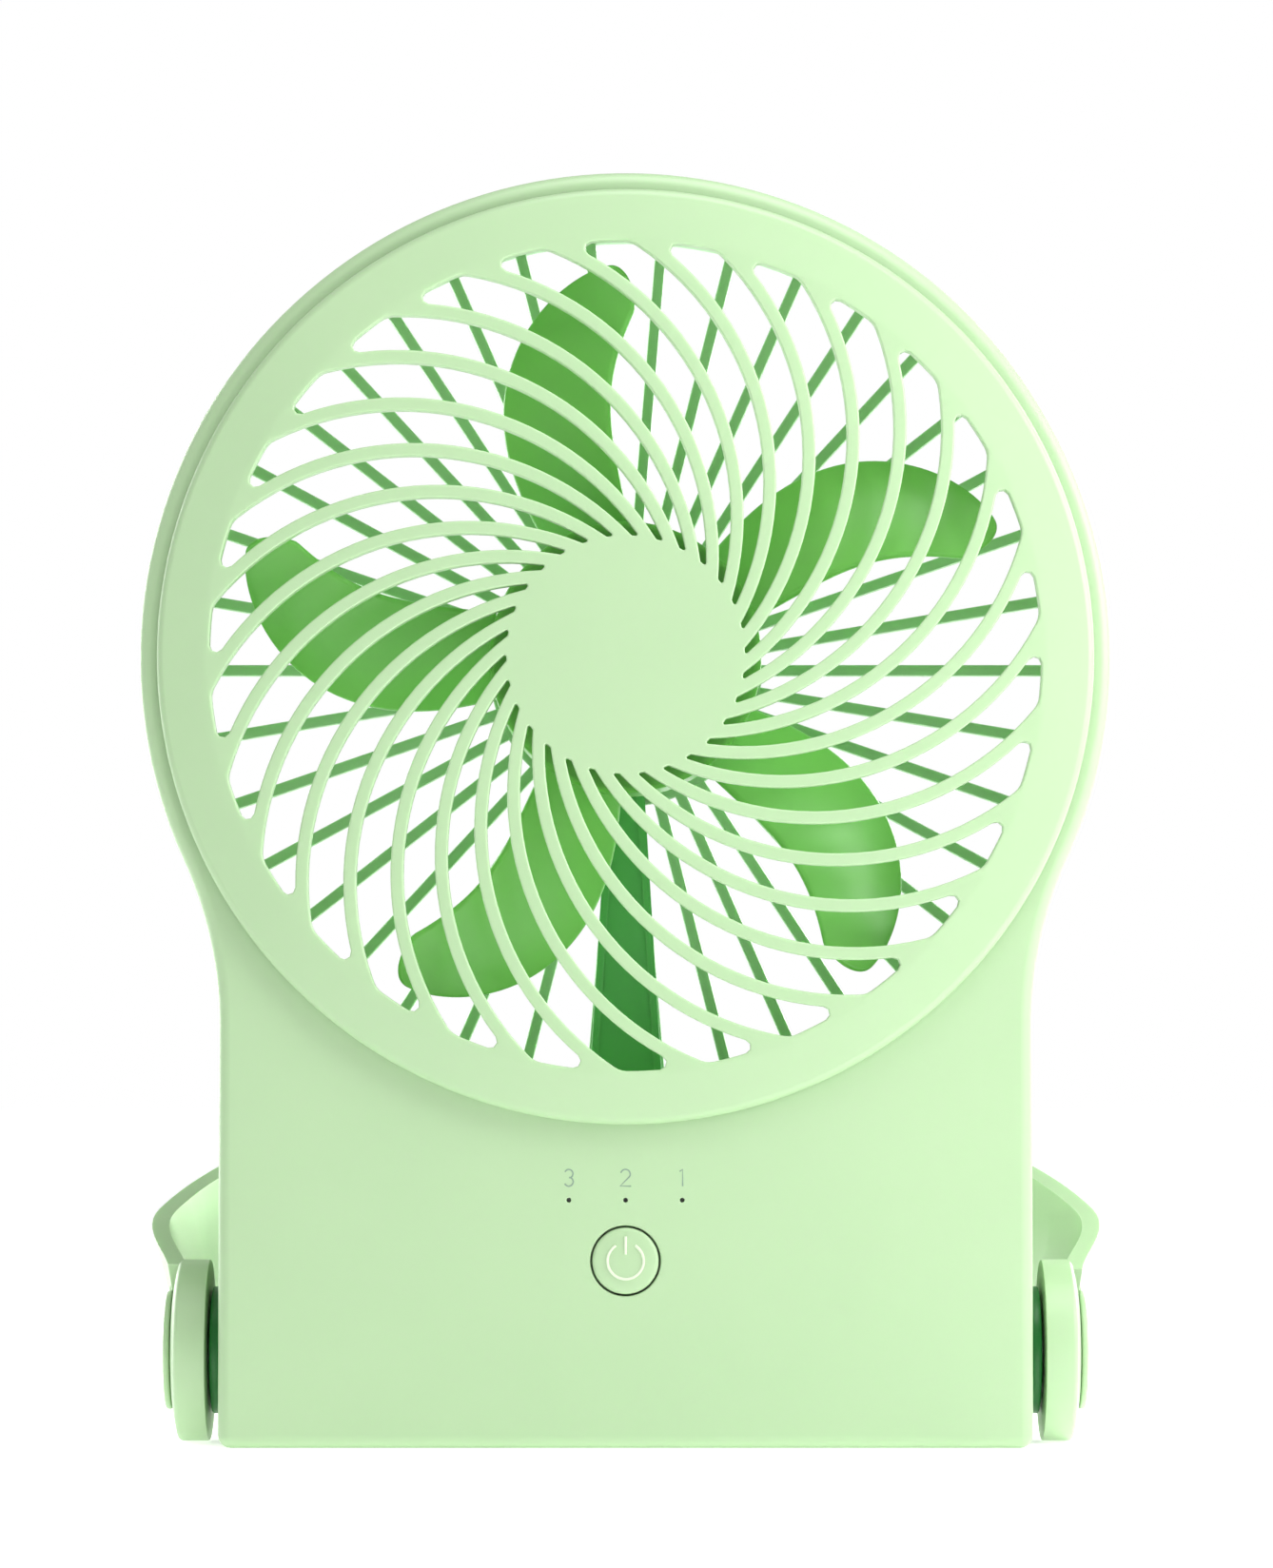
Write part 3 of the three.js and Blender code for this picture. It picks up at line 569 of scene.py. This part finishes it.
def slot_outline(arcs, grow):
    """Points round a slot grown by `grow`."""
    points = []
    for centre, radius, start, end, growth in arcs:
        reach = radius + growth * grow
        length = abs(end - start) * math.radians(1) * radius
        step = abs(end - start) / max(3, min(26, round(length / 0.9)))
        points += arc(centre.x, centre.y, reach, start, end, step)[:-1]
    return points


def stacked(layers):
    """A closed solid through outlines of equal length, each at its own y."""
    bm = bmesh.new()
    rings = []
    for points, y in layers:
        ring = [bm.verts.new((x, y, z)) for x, z in points]
        rings.append([bm.edges.new((a, b)) for a, b in zip(ring, ring[1:] + ring[:1])])
        if y in (layers[0][1], layers[-1][1]):
            bm.faces.new(ring)
    for a, b in zip(rings, rings[1:]):
        bmesh.ops.bridge_loops(bm, edges=a + b)
    bmesh.ops.recalc_face_normals(bm, faces=bm.faces)
    return bm


# %% The grille cut from one plate
GRILLE_FRONT = GRILLE_LOW.y
GRILLE_BACK = GRILLE_HIGH.y
LIP = 0.22
RING_SLOPE = math.tan(math.radians(7))
RING_EDGE_R = 1.0

shoulder_r = RING_R - RING_EDGE_R
shoulder_y = GRILLE_FRONT + (shoulder_r - OPENING_R - 0.5) * RING_SLOPE
grille_profile = [(0, GRILLE_BACK), (RING_R - 0.3, GRILLE_BACK), (RING_R, GRILLE_BACK - 0.3)]
for i in range(7):
    a = math.radians(83 * i / 6)
    r, y = shoulder_r + RING_EDGE_R * math.cos(a), shoulder_y + RING_EDGE_R * (1 - math.sin(a))
    grille_profile.append((r, y))
grille_profile += [(OPENING_R + 0.9, GRILLE_FRONT + 0.05), (OPENING_R + 0.3, GRILLE_FRONT)]
grille_profile.append((0, GRILLE_FRONT))
plate = spun(grille_profile, (0, 1, 0), (0, 0, 0), 240)

arcs = slot_arcs()
lip_steps = [(LIP, GRILLE_FRONT - 1), (LIP, GRILLE_FRONT)]
for i in range(1, 4):
    a = math.radians(90 * i / 3)
    lip_steps.append((LIP * (1 - math.sin(a)), GRILLE_FRONT + LIP * (1 - math.cos(a))))
lip_steps += [(0.0, GRILLE_BACK - LIP), (LIP, GRILLE_BACK), (LIP, GRILLE_BACK + 1)]
slots = []
for k in range(RIB_COUNT):
    cutter = stacked([(slot_outline(arcs, grow), y) for grow, y in lip_steps])
    slots.append(turned_y(cutter, k * PITCH))
plate = combined(plate, together(slots), "DIFFERENCE")
bmesh.ops.translate(plate, verts=plate.verts, vec=(0, 0, HEAD_Z))
finish_piece(plate, "front_grille_skin", "body", SHELL_ABS, ["front_grille"])

# %% [markdown]
# ## The impeller
# A hub cup with five crescent blades, moulded in one. A blade starts as a straight bar whose two directions
# become radius and angle: the leading edge bows, the trailing edge sweeps in to a blunt tip, and the
# chord is pitched and cambered. The bar's section is flat with round ends, so every edge comes out round.

# %% Blades on their hub
CUP_FRONT, CUP_REAR = box_mm("impeller")[0].y, -1.0
CUP_R = 16.0
CUP_WALL = 1.5
BLADE_COUNT = 5
ROOT_R, TIP_R = 15.3, 46.4
BLADE_FRONT, BLADE_REAR = -10.9, -1.6
BLADE_WALL = 1.2
CAMBER = 1.2


def leading_angle(r):
    """Angle of the blade's leading edge at radius r."""
    bow = 16.5 + 5.0 * math.sin(math.pi * min(1.0, max(0.0, (r - 15) / 26)))
    s = max(0.0, (r - 41) / (TIP_R - 41))
    return bow + 3.6 * (1 - math.sqrt(max(0.0, 1 - s * s)))


def trailing_angle(r):
    """Angle of the trailing edge at radius r."""
    t = min(0.9999, (r - 15) / (TIP_R - 15))
    return 20.2 + 31.2 * (1 - t * t) ** 0.68


def stadium(turn, half, radius):
    """A point round a flat bar with round ends, for turn from 0 to 1: along the bar and across it."""
    quarter = (turn * 4 + 0.5) % 4
    part, share = int(quarter), quarter % 1
    if part in (1, 3):
        side = 1 if part == 1 else -1
        return side * (half - radius) * (1 - 2 * share), side * radius
    a = math.pi * (share - 0.5) + (0 if part == 0 else math.pi)
    return (half - radius) * (1 if part == 0 else -1) + radius * math.cos(a), radius * math.sin(a)


def blade_point(r, turn):
    """A point on the skin of a blade at radius r, going round its section as turn goes from 0 to 1."""
    low, high = leading_angle(r), trailing_angle(r)
    half = r * math.radians(high - low) / 2
    along, off = stadium(turn, half, min(BLADE_WALL / 2, half * 0.85))
    fullness = min(1.0, (high - low) / 30)

    def middle(x):
        s = (x / half + 1) / 2
        rise = (BLADE_REAR - BLADE_FRONT) * s - CAMBER * math.sin(math.pi * s)
        return Vector((x, fullness * rise))

    ahead = (middle(along + 0.05) - middle(along - 0.05)).normalized()
    x, y = middle(along) + off * Vector((-ahead.y, ahead.x))
    a = math.radians((low + high) / 2) + x / r
    return Vector((r * math.cos(a), BLADE_FRONT + BLADE_WALL / 2 + y, r * math.sin(a)))


def one_blade(sections=48, points=72):
    """A rounded section swept from the hub to the tip, then laid along the blade's two edge curves."""
    bm = bmesh.new()
    bmesh.ops.create_circle(bm, cap_ends=True, radius=1.0, segments=points)
    bmesh.ops.spin(
        bm, geom=bm.faces[:], cent=(0, 0, 0), axis=(0, 0, 1), angle=0.0,
        dvec=(0, 0, 1 / sections), steps=sections,
    )
    for v in bm.verts:
        turn = math.atan2(v.co.y, v.co.x) / math.tau % 1
        v.co = blade_point(ROOT_R + (TIP_R - ROOT_R) * math.sin(min(1.0, v.co.z) * math.pi / 2), turn)
    bmesh.ops.recalc_face_normals(bm, faces=bm.faces)
    return bm


inner_r, inner_y = CUP_R - CUP_WALL, CUP_FRONT + CUP_WALL
cup_outside = [(0, CUP_FRONT), (CUP_R, CUP_FRONT), (CUP_R, CUP_REAR), (inner_r, CUP_REAR)]
shaft_boss = [(inner_r, inner_y), (2.8, inner_y), (2.8, -3.0), (1.3, -3.0), (1.3, -10.5), (0, -10.5)]
hub = spun(rounded(cup_outside + shaft_boss, 0.9, 4), (0, 1, 0), (0, 0, 0), 120)
blades = [turned_y(one_blade(), k * 360 / BLADE_COUNT) for k in range(BLADE_COUNT)]
wheel = combined(hub, together(blades), "UNION")
bmesh.ops.translate(wheel, verts=wheel.verts, vec=(0, 0, HEAD_Z))
finish_piece(wheel, "impeller_skin", "impeller", BLADE_ABS, ["impeller"], 40)

# %% [markdown]
# ## The rear grille and the wire cover
# Thirty-eight straight spokes join the motor hub to the rim. A spoke is a bar with its long edges rounded.
# The wire cover is a tapered channel with raised borders, clipped over the motor's leads.

# %% Spokes, rim, hub and motor socket
SPOKE_COUNT = 38
SPOKE_W = 1.35
BACK_FRONT_Y = BACK_HIGH.y - 2.0
REAR_HUB_R = 16.5
RIM_R = DUCT_R - GAP
RIM_WIDTH = 1.0
MOTOR_SOCKET_R, MOTOR_BORE_R = 13.8, 12.3
MOTOR_SCREW_X = 8.0


def tube(outer, inner, low, high, edge=0.3, steps=120):
    """A ring about the impeller axis with softened edges."""
    corners = [(inner, (low + high) / 2), (inner, low), (outer, low), (outer, high), (inner, high)]
    return spun(rounded(corners, edge, 2), (0, 1, 0), (0, 0, 0), steps)


def bar(x0, x1, y0, y1, z0, z1, edge, segments=2):
    """A box with its edges rounded."""
    bm = bmesh.new()
    bmesh.ops.create_cube(bm, size=1.0)
    bmesh.ops.scale(bm, vec=(x1 - x0, y1 - y0, z1 - z0), verts=bm.verts)
    bmesh.ops.translate(bm, vec=((x0 + x1) / 2, (y0 + y1) / 2, (z0 + z1) / 2), verts=bm.verts)
    return round_edges(bm, bm.edges[:], edge, segments)


disc = [(0, BACK_FRONT_Y), (REAR_HUB_R, BACK_FRONT_Y), (REAR_HUB_R, BACK_HIGH.y), (0, BACK_HIGH.y)]
rear = tube(RIM_R, RIM_R - RIM_WIDTH, BACK_FRONT_Y, BACK_HIGH.y)
rear = combined(rear, spun(rounded(disc, 0.4), (0, 1, 0), (0, 0, 0), 120), "UNION")
motor_socket = tube(MOTOR_SOCKET_R, MOTOR_BORE_R, BACK_LOW.y, BACK_FRONT_Y + 0.5)
rear = combined(rear, motor_socket, "UNION")
spokes = []
for k in range(SPOKE_COUNT):
    low, high = BACK_FRONT_Y + 0.1, BACK_HIGH.y - 0.1
    spoke = bar(REAR_HUB_R - 1, RIM_R - 0.5, low, high, -SPOKE_W / 2, SPOKE_W / 2, 0.28)
    spokes.append(turned_y(spoke, k * 360 / SPOKE_COUNT))
rear = combined(rear, together(spokes), "UNION")
wells = []
for side in (-1, 1):
    seat = BACK_HIGH.y - 1.2
    well = [(0, BACK_FRONT_Y - 1), (1.3, BACK_FRONT_Y - 1), (1.3, seat), (2.6, seat),
            (2.6, BACK_HIGH.y + 1), (0, BACK_HIGH.y + 1)]
    wells.append(spun(well, (0, 1, 0), (side * MOTOR_SCREW_X, 0, 0), 40))
rear = combined(rear, together(wells), "DIFFERENCE")
bmesh.ops.translate(rear, verts=rear.verts, vec=(0, 0, HEAD_Z))
# The greener tint of this plastic is painted shade for the inside of the duct.
finish_piece(rear, "rear_grille_skin", "body", REAR_ABS_DUCT_SHADE, ["rear_grille"])

# %% Wire cover
COVER_LOW, COVER_HIGH = box_mm("wire_cover")
FOOT_HALF = COVER_HIGH.x
HEAD_HALF = 2.2


def taper(shrink, front_y, back_y):
    """A tapered plate of the cover's outline, drawn in by shrink."""
    low, high = COVER_LOW.z + shrink, COVER_HIGH.z - shrink
    foot, head = FOOT_HALF - shrink, HEAD_HALF - shrink
    return slab([(-foot, low), (foot, low), (head, high), (-head, high)], front_y, back_y)


cover = taper(0.0, COVER_LOW.y, COVER_HIGH.y)
round_edges(cover, [e for e in cover.edges], 0.3, 3)
cover = combined(cover, taper(0.9, COVER_LOW.y - 1, COVER_LOW.y + 0.45), "DIFFERENCE")
cover = combined(cover, taper(0.8, COVER_LOW.y + 1.1, COVER_HIGH.y + 1), "DIFFERENCE")
finish_piece(cover, "wire_cover_skin", "body", COVER_ABS, ["wire_cover"])

# %% [markdown]
# ## Power button, mark and numerals
# The button is a shallow dome turned about its own axis. Its mark, a broken ring and a bar, stands a
# little proud in cream ink, and the speed numerals are printed in grey. All are strokes of even width, so
# each is a curve with a round section, made a mesh and pressed nearly flat.

# %% Button cap
BUTTON_LOW, BUTTON_HIGH = box_mm("power_button")
BUTTON_R = 3.87
button_profile = [(0, BUTTON_LOW.y)]
for i in range(1, 9):
    r = (BUTTON_R - 0.45) * i / 8
    button_profile.append((r, BUTTON_LOW.y + 0.22 * (r / BUTTON_R) ** 2))
rim_y = button_profile[-1][1]
for i in range(1, 5):
    a = math.radians(90 * i / 4)
    button_profile.append((BUTTON_R - 0.45 + 0.45 * math.sin(a), rim_y + 0.45 * (1 - math.cos(a))))
flange_y = BUTTON_HIGH.y - 0.8
button_profile += [(BUTTON_R, flange_y), (5.2, flange_y), (5.2, BUTTON_HIGH.y), (0, BUTTON_HIGH.y)]
button = spun(button_profile, (0, 1, 0), (0, 0, BUTTON_Z), 96)
finish_piece(button, "power_button_cap", "power_button", SHELL_ABS, ["power_button"])


# %% Strokes for the mark and the numerals
def stroke(lines, width, thickness, x, y, z):
    """Lines of (x, z) points drawn with a round pen and pressed flat, centred on (x, y, z)."""
    curve = bpy.data.curves.new("pen", "CURVE")
    curve.dimensions = "3D"
    curve.bevel_depth = width / 2
    curve.bevel_resolution = 3
    curve.use_fill_caps = True
    for points in lines:
        spline = curve.splines.new("POLY")
        spline.points.add(len(points) - 1)
        for target, (px, pz) in zip(spline.points, points):
            target.co = (px, 0.0, pz, 1.0)
    pen = bpy.data.objects.new("pen", curve)
    bm = bmesh.new()
    bm.from_mesh(pen.to_mesh())
    pen.to_mesh_clear()
    bpy.data.objects.remove(pen)
    bmesh.ops.remove_doubles(bm, verts=bm.verts, dist=1e-4)
    bmesh.ops.scale(bm, vec=(1, thickness / width, 1), verts=bm.verts)
    bmesh.ops.translate(bm, vec=(x, y, z), verts=bm.verts)
    return bm


MARK_R = 2.1
mark_ring = arc(0, 0, MARK_R, 90 + 32, 450 - 32, 4)
mark = stroke([mark_ring, [(0, 2.85), (0, 0.75)]], 0.34, 0.3, 0, BUTTON_LOW.y + 0.06, BUTTON_Z)
finish_piece(mark, "power_mark", "power_button", INK_CREAM)

NUMERAL_Z = 31.4
THREE = [arc(0, 0.47, 0.49, 155, -80, 12) + arc(0, -0.46, 0.52, 80, -155, 12)]
TWO = [arc(0, 0.42, 0.55, 165, -38, 12) + [(-0.62, -0.97), (0.66, -0.97)]]
ONE = [[(-0.3, 0.72), (0.05, 0.97), (0.05, -0.98)]]
for lines, i, word in ((THREE, -1, "three"), (TWO, 0, "two"), (ONE, 1, "one")):
    ink = stroke(lines, 0.18, 0.06, i * LAMP_SPACING, FRONT_Y, NUMERAL_Z)
    finish_piece(ink, "numeral_" + word, "body", INK_GREY)

# %% [markdown]
# ## The stand
# A flared band bent into a half ring between two thick round arm ends. The band is one section spun half
# a turn and then eased: close to the arms the rims keep straight along the body, and further on the wide
# rim swings out. The arm ends are crowned discs, and everything is joined into one moulding.

# %% The band and the arm ends
STAND_RAISE = 21.5
ARM_R = 10.7
ARM_IN = 49.2
ARM_OUT = 53.9
CAP_SEAT = ARM_OUT - 0.4
LOOP_R = 59.3
BAND_WALL = 2.2
RIM_W = 10.4
DRAFT = math.tan(math.radians(9))
LIFT = 6.0


def band_shape(a, outer, top):
    """Where a band point goes: its radius and height at angle a (radians from the right arm)."""
    low = -RIM_W + LIFT * math.sin(a)
    s = min(1.0, min(a, math.pi - a) / math.radians(18))
    swing = 0.75 * s * s * (3 - 2 * s) + 0.25 * s * (1.5 - 0.5 * s * s)
    rim = ARM_OUT + (LOOP_R - ARM_OUT) * swing
    straight = (ARM_IN + BAND_WALL) / max(0.01, abs(math.cos(a)))
    foot = min(straight, LOOP_R - (RIM_W - low) * DRAFT)
    radius, w = (rim, RIM_W) if top else (foot, low)
    return radius - (0 if outer else BAND_WALL), w


def loop_band(steps=120):
    """The band, with its four long edges rounded."""
    bm = bmesh.new()
    corners = [(LOOP_R, RIM_W), (LOOP_R, -RIM_W), (LOOP_R - BAND_WALL, -RIM_W), (LOOP_R - BAND_WALL, RIM_W)]
    face = bm.faces.new([bm.verts.new((x, 0, w)) for x, w in corners])
    bmesh.ops.spin(bm, geom=[face], cent=(0, 0, 0), axis=(0, 0, 1), angle=math.pi, steps=steps)
    bmesh.ops.remove_doubles(bm, verts=bm.verts, dist=1e-4)
    for v in bm.verts:
        a = max(0.0, math.atan2(v.co.y, v.co.x))
        radius, w = band_shape(a, v.co.xy.length > LOOP_R - 0.1, v.co.z > 0)
        v.co = (radius * math.cos(a), radius * math.sin(a), w)
    bmesh.ops.recalc_face_normals(bm, faces=bm.faces)
    corner_edges = [e for e in bm.edges if e.calc_face_angle(0.0) > math.radians(50)]
    long_edges = [e for e in corner_edges if e.verts[0].co.y != e.verts[1].co.y]
    return round_edges(bm, long_edges, 0.55, 4)


def arm_end(side):
    """A disc about the pivot with a crowned outer face and crisp, lightly rounded edges."""
    crown = [(r, ARM_OUT - 1.1 * (r / ARM_R) ** 2.4) for r in (10.4, 9.6, 8.6, 7.4, 6.0, 4.0, 2.0)]
    inner = [(0, ARM_IN), (ARM_R - 0.2, ARM_IN), (ARM_R - 0.06, ARM_IN + 0.06), (ARM_R, ARM_IN + 0.2)]
    outer = rounded([inner[-1], (ARM_R, ARM_OUT - 1.35)] + crown + [(0, ARM_OUT)], 0.45, 4)
    return spun(inner[:-1] + outer, (side, 0, 0), (0, 0, 0), 128)


stand = loop_band()
sides = [bar(-ARM_IN, ARM_IN, -11, 11, -60, 60, 0.2)]
for side in (-1, 1):
    sides.append(spun([(0, ARM_OUT), (7.6, ARM_OUT), (7.6, 60), (0, 60)], (side, 0, 0), (0, 0, 0), 96))
stand = combined(stand, together(sides), "DIFFERENCE")
for side in (-1, 1):
    stand = combined(stand, arm_end(side), "UNION")
bores = []
for side in (-1, 1):
    steps = [(0, 47), (PIN_BORE_R, 47), (PIN_BORE_R, 50.7), (5.9, 50.7), (5.9, CAP_SEAT),
             (7.15, CAP_SEAT), (7.15, 56), (0, 56)]
    bores.append(spun(steps, (side, 0, 0), (0, 0, 0), 64))
stand = combined(stand, together(bores), "DIFFERENCE")
RAISE = Matrix.Rotation(math.radians(STAND_RAISE), 3, "X")


def raised(bm):
    """Lifts a piece drawn with its loop level to the stand's rest angle about the pivot."""
    bmesh.ops.rotate(bm, verts=bm.verts, cent=(0, 0, 0), matrix=RAISE)
    bmesh.ops.translate(bm, verts=bm.verts, vec=(0, 0, PIVOT_Z))
    return bm


finish_piece(raised(stand), "stand_loop_skin", "stand", SHELL_ABS, ["stand_loop"], 40)

# %% Hub caps
CAP_R = 7.0
CAP_FACE = box_mm("hub_cap_right")[1].x
for side, end in ((-1, "left"), (1, "right")):
    seat = CAP_SEAT + 0.1
    corners = [(0, seat - 0.8), (5.5, seat - 0.8), (5.5, seat), (CAP_R, seat), (CAP_R, CAP_FACE - 0.12),
               (3.5, CAP_FACE - 0.02), (0, CAP_FACE)]
    cap = spun(rounded(corners, 0.35, 5), (side, 0, 0), (0, 0, 0), 96)
    finish_piece(raised(cap), f"hub_cap_{end}_skin", "stand", SHELL_ABS, [f"hub_cap_{end}"])

# %% Washers in the pivot gaps
for side, end in ((-1, "left"), (1, "right")):
    low, high = box_mm(f"pivot_washer_{end}")
    near, far = sorted((abs(low.x), abs(high.x)))
    outer, bore = (high.z - low.z) / 2, PIN_BORE_R
    corners = [(bore, (near + far) / 2), (bore, near), (outer, near), (outer, far), (bore, far)]
    washer = spun(rounded(corners, 0.3, 3), (side, 0, 0), (0, 0, PIVOT_Z), 80)
    node = f"pivot_washer_{end}"
    # The washer's darkened green is painted shade for the gap between the arm and the body.
    finish_piece(washer, node + "_skin", "body", WASHER_SHADE_PAINTED, [node])

# %% [markdown]
# ## The rear shell
# A shallow lid with four countersunk screw wells and the rounded mouth of the charging socket.

# %% Rear shell
POST_R = 3.6
SCREWS = [box_mm(f"shell_screw_{i}") for i in (1, 2, 3, 4)]
lid = half_shell(BACK_Y, REAR_LOW.y, REAR_EDGE_R)
posts, holes = [], []
for low, high in SCREWS:
    x, z = (low.x + high.x) / 2, (low.z + high.z) / 2
    post = [(0, REAR_LOW.y), (POST_R, REAR_LOW.y), (POST_R, BACK_Y - 1), (0, BACK_Y - 1)]
    posts.append(spun(post, (0, 1, 0), (x, 0, z), 40))
    holes.append(flared_hole(2.6, 0.3, BACK_Y, high.y - 1.6, x, z))
    holes.append(spun([(0, 8), (1.3, 8), (1.3, BACK_Y), (0, BACK_Y)], (0, 1, 0), (x, 0, z), 32))
lid = combined(lid, together(posts), "UNION")
port_low, port_high = box_mm("charging_socket")
port_z = (port_low.z + port_high.z) / 2
mouth = bar(-4.85, 4.85, BACK_Y - 4, BACK_Y + 2, port_z - 1.95, port_z + 1.95, 1.3, 5)
lid = combined(lid, together(holes), "DIFFERENCE")
lid = combined(lid, mouth, "DIFFERENCE")
finish_piece(lid, "rear_shell_skin", "body", SHELL_ABS, ["rear_shell"])

# %% [markdown]
# ## Finishes for the pieces kept from the frame
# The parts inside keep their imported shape, and each takes the finish of what it is made of.

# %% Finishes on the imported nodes
KEPT = {
    "motor_can": STEEL_DRAWN, "motor_shaft": STEEL_BRIGHT, "motor_lead_red": LEAD_RED,
    "motor_lead_black": LEAD_BLACK, "circuit_board": BOARD_MASK, "charging_board": BOARD_MASK,
    "tact_switch": NYLON_BLACK, "control_chip": NYLON_BLACK, "inductor": NYLON_BLACK,
    "charging_tongue": NYLON_BLACK, "light_guide": ACRYLIC, "battery_connector": RESIN_WHITE,
    "led_1": RESIN_WHITE, "led_2": RESIN_WHITE, "led_3": RESIN_WHITE, "battery_cell": CELL_SLEEVE,
    "battery_tab_left": NICKEL_STRIP, "battery_tab_right": NICKEL_STRIP, "charging_socket": STEEL_BRIGHT,
    "pivot_pin_left": STEEL_ZINC, "pivot_pin_right": STEEL_ZINC, "pivot_clip_left": STEEL_ZINC,
    "pivot_clip_right": STEEL_ZINC,
    "motor_screw_1": STEEL_ZINC, "motor_screw_2": STEEL_ZINC, "shell_screw_1": STEEL_ZINC,
    "shell_screw_2": STEEL_ZINC, "shell_screw_3": STEEL_ZINC, "shell_screw_4": STEEL_ZINC,
}
for node, material in KEPT.items():
    mesh = frame["nodes"][node].data
    mesh.materials.clear()
    mesh.materials.append(material)
print("finishes on packed nodes:", len(KEPT))

# %% [markdown]
# ## Camera, light and floor
# A long lens a little above the base looks slightly up at the head, so the front is nearly free of
# perspective. A white room gives an even fill. A soft light from the right brightens the edges that face
# it, one from above clears the top of the head, two from behind lift the outline off the background, and
# a narrow one reaches the inside of the stand.

# %% Camera
camera = bpy.data.objects.new("camera", bpy.data.cameras.new("camera"))
bpy.context.scene.collection.objects.link(camera)
bpy.context.scene.camera = camera
CAMERA_BACK = 0.700
FRAME_HEIGHT = 0.18285
camera.data.sensor_fit = "VERTICAL"
camera.data.sensor_height = 36.0
camera.data.lens = 36.0 * CAMERA_BACK / FRAME_HEIGHT
camera.data.clip_start = 0.01
eye = Vector((0.00128, FRONT_Y * MM - CAMERA_BACK, 0.044))
aim = Vector((0.00128, FRONT_Y * MM, 0.07728))
camera.location = eye
camera.rotation_euler = (aim - eye).to_track_quat("-Z", "Y").to_euler()

# %% White room
world = bpy.data.worlds.new("white room")
bpy.context.scene.world = world
bpy.context.scene.view_settings.view_transform = "Standard"
world.use_nodes = True
room = world.node_tree
room.nodes.clear()
FILL = 0.45
ray = add(room, "ShaderNodeLightPath", {}, {})
level = add(
    room, "ShaderNodeMapRange", {}, {"Value": (ray, "Is Camera Ray"), "To Min": FILL, "To Max": 1.0},
)
sky = add(room, "ShaderNodeBackground", {}, {"Color": (1, 1, 1, 1), "Strength": (level, "Result")})
add(room, "ShaderNodeOutputWorld", {}, {"Surface": (sky, "Background")})


# %% Soft lights
def soft_light(name, place, target, size, power, spread=180):
    """A square soft box; a small spread, in degrees, is a honeycomb in front of it."""
    lamp = bpy.data.lights.new(name, "AREA")
    lamp.shape = "SQUARE"
    lamp.size = size
    lamp.energy = power
    lamp.spread = math.radians(spread)
    holder = bpy.data.objects.new(name, lamp)
    bpy.context.scene.collection.objects.link(holder)
    holder.location = place
    holder.rotation_euler = (Vector(target) - Vector(place)).to_track_quat("-Z", "Y").to_euler()
    holder.visible_camera = False


soft_light("key from the right", (0.20, -0.10, 0.15), (0, 0, 0.08), 0.12, 0.36)
soft_light("light from above", (0.05, -0.12, 0.36), (0, 0, 0.1), 0.20, 0.55)
soft_light("back light from the right", (0.30, 0.35, 0.20), (0, 0.02, 0.05), 0.25, 2.2)
soft_light("light into the stand", (0.25, 0.16, 0.10), (-0.055, 0.022, 0.026), 0.06, 0.0135, 16)
soft_light("back light from the left", (-0.30, 0.30, 0.15), (0, 0.02, 0.05), 0.25, 1.3)

# %% Floor
FLOOR_WHITE, floor_tree, floor_place = start_material("painted board, white")
floor_tone = add(floor_tree, "ShaderNodeTexNoise", {}, {"Vector": floor_place, "Scale": 3.0})
floor_colour = add(
    floor_tree, "ShaderNodeMix", {"data_type": "RGBA"},
    {0: (floor_tone, "Fac"), 6: linear("#FFFFFF"), 7: linear("#FDFDFD")},
)
floor_skin = add(floor_tree, "ShaderNodeBsdfPrincipled", {}, {
    "Base Color": (floor_colour, 2), "Roughness": 1.0, "Emission Color": (1, 1, 1, 1),
    "Emission Strength": 1.02 - FILL,
})
finish_material(floor_tree, floor_skin)
floor_bm = bmesh.new()
bmesh.ops.create_grid(floor_bm, x_segments=1, y_segments=1, size=6.0)
floor_mesh = bpy.data.meshes.new("floor")
floor_bm.to_mesh(floor_mesh)
floor_bm.free()
floor_mesh.materials.append(FLOOR_WHITE)
floor = bpy.data.objects.new("floor", floor_mesh)
bpy.context.scene.collection.objects.link(floor)
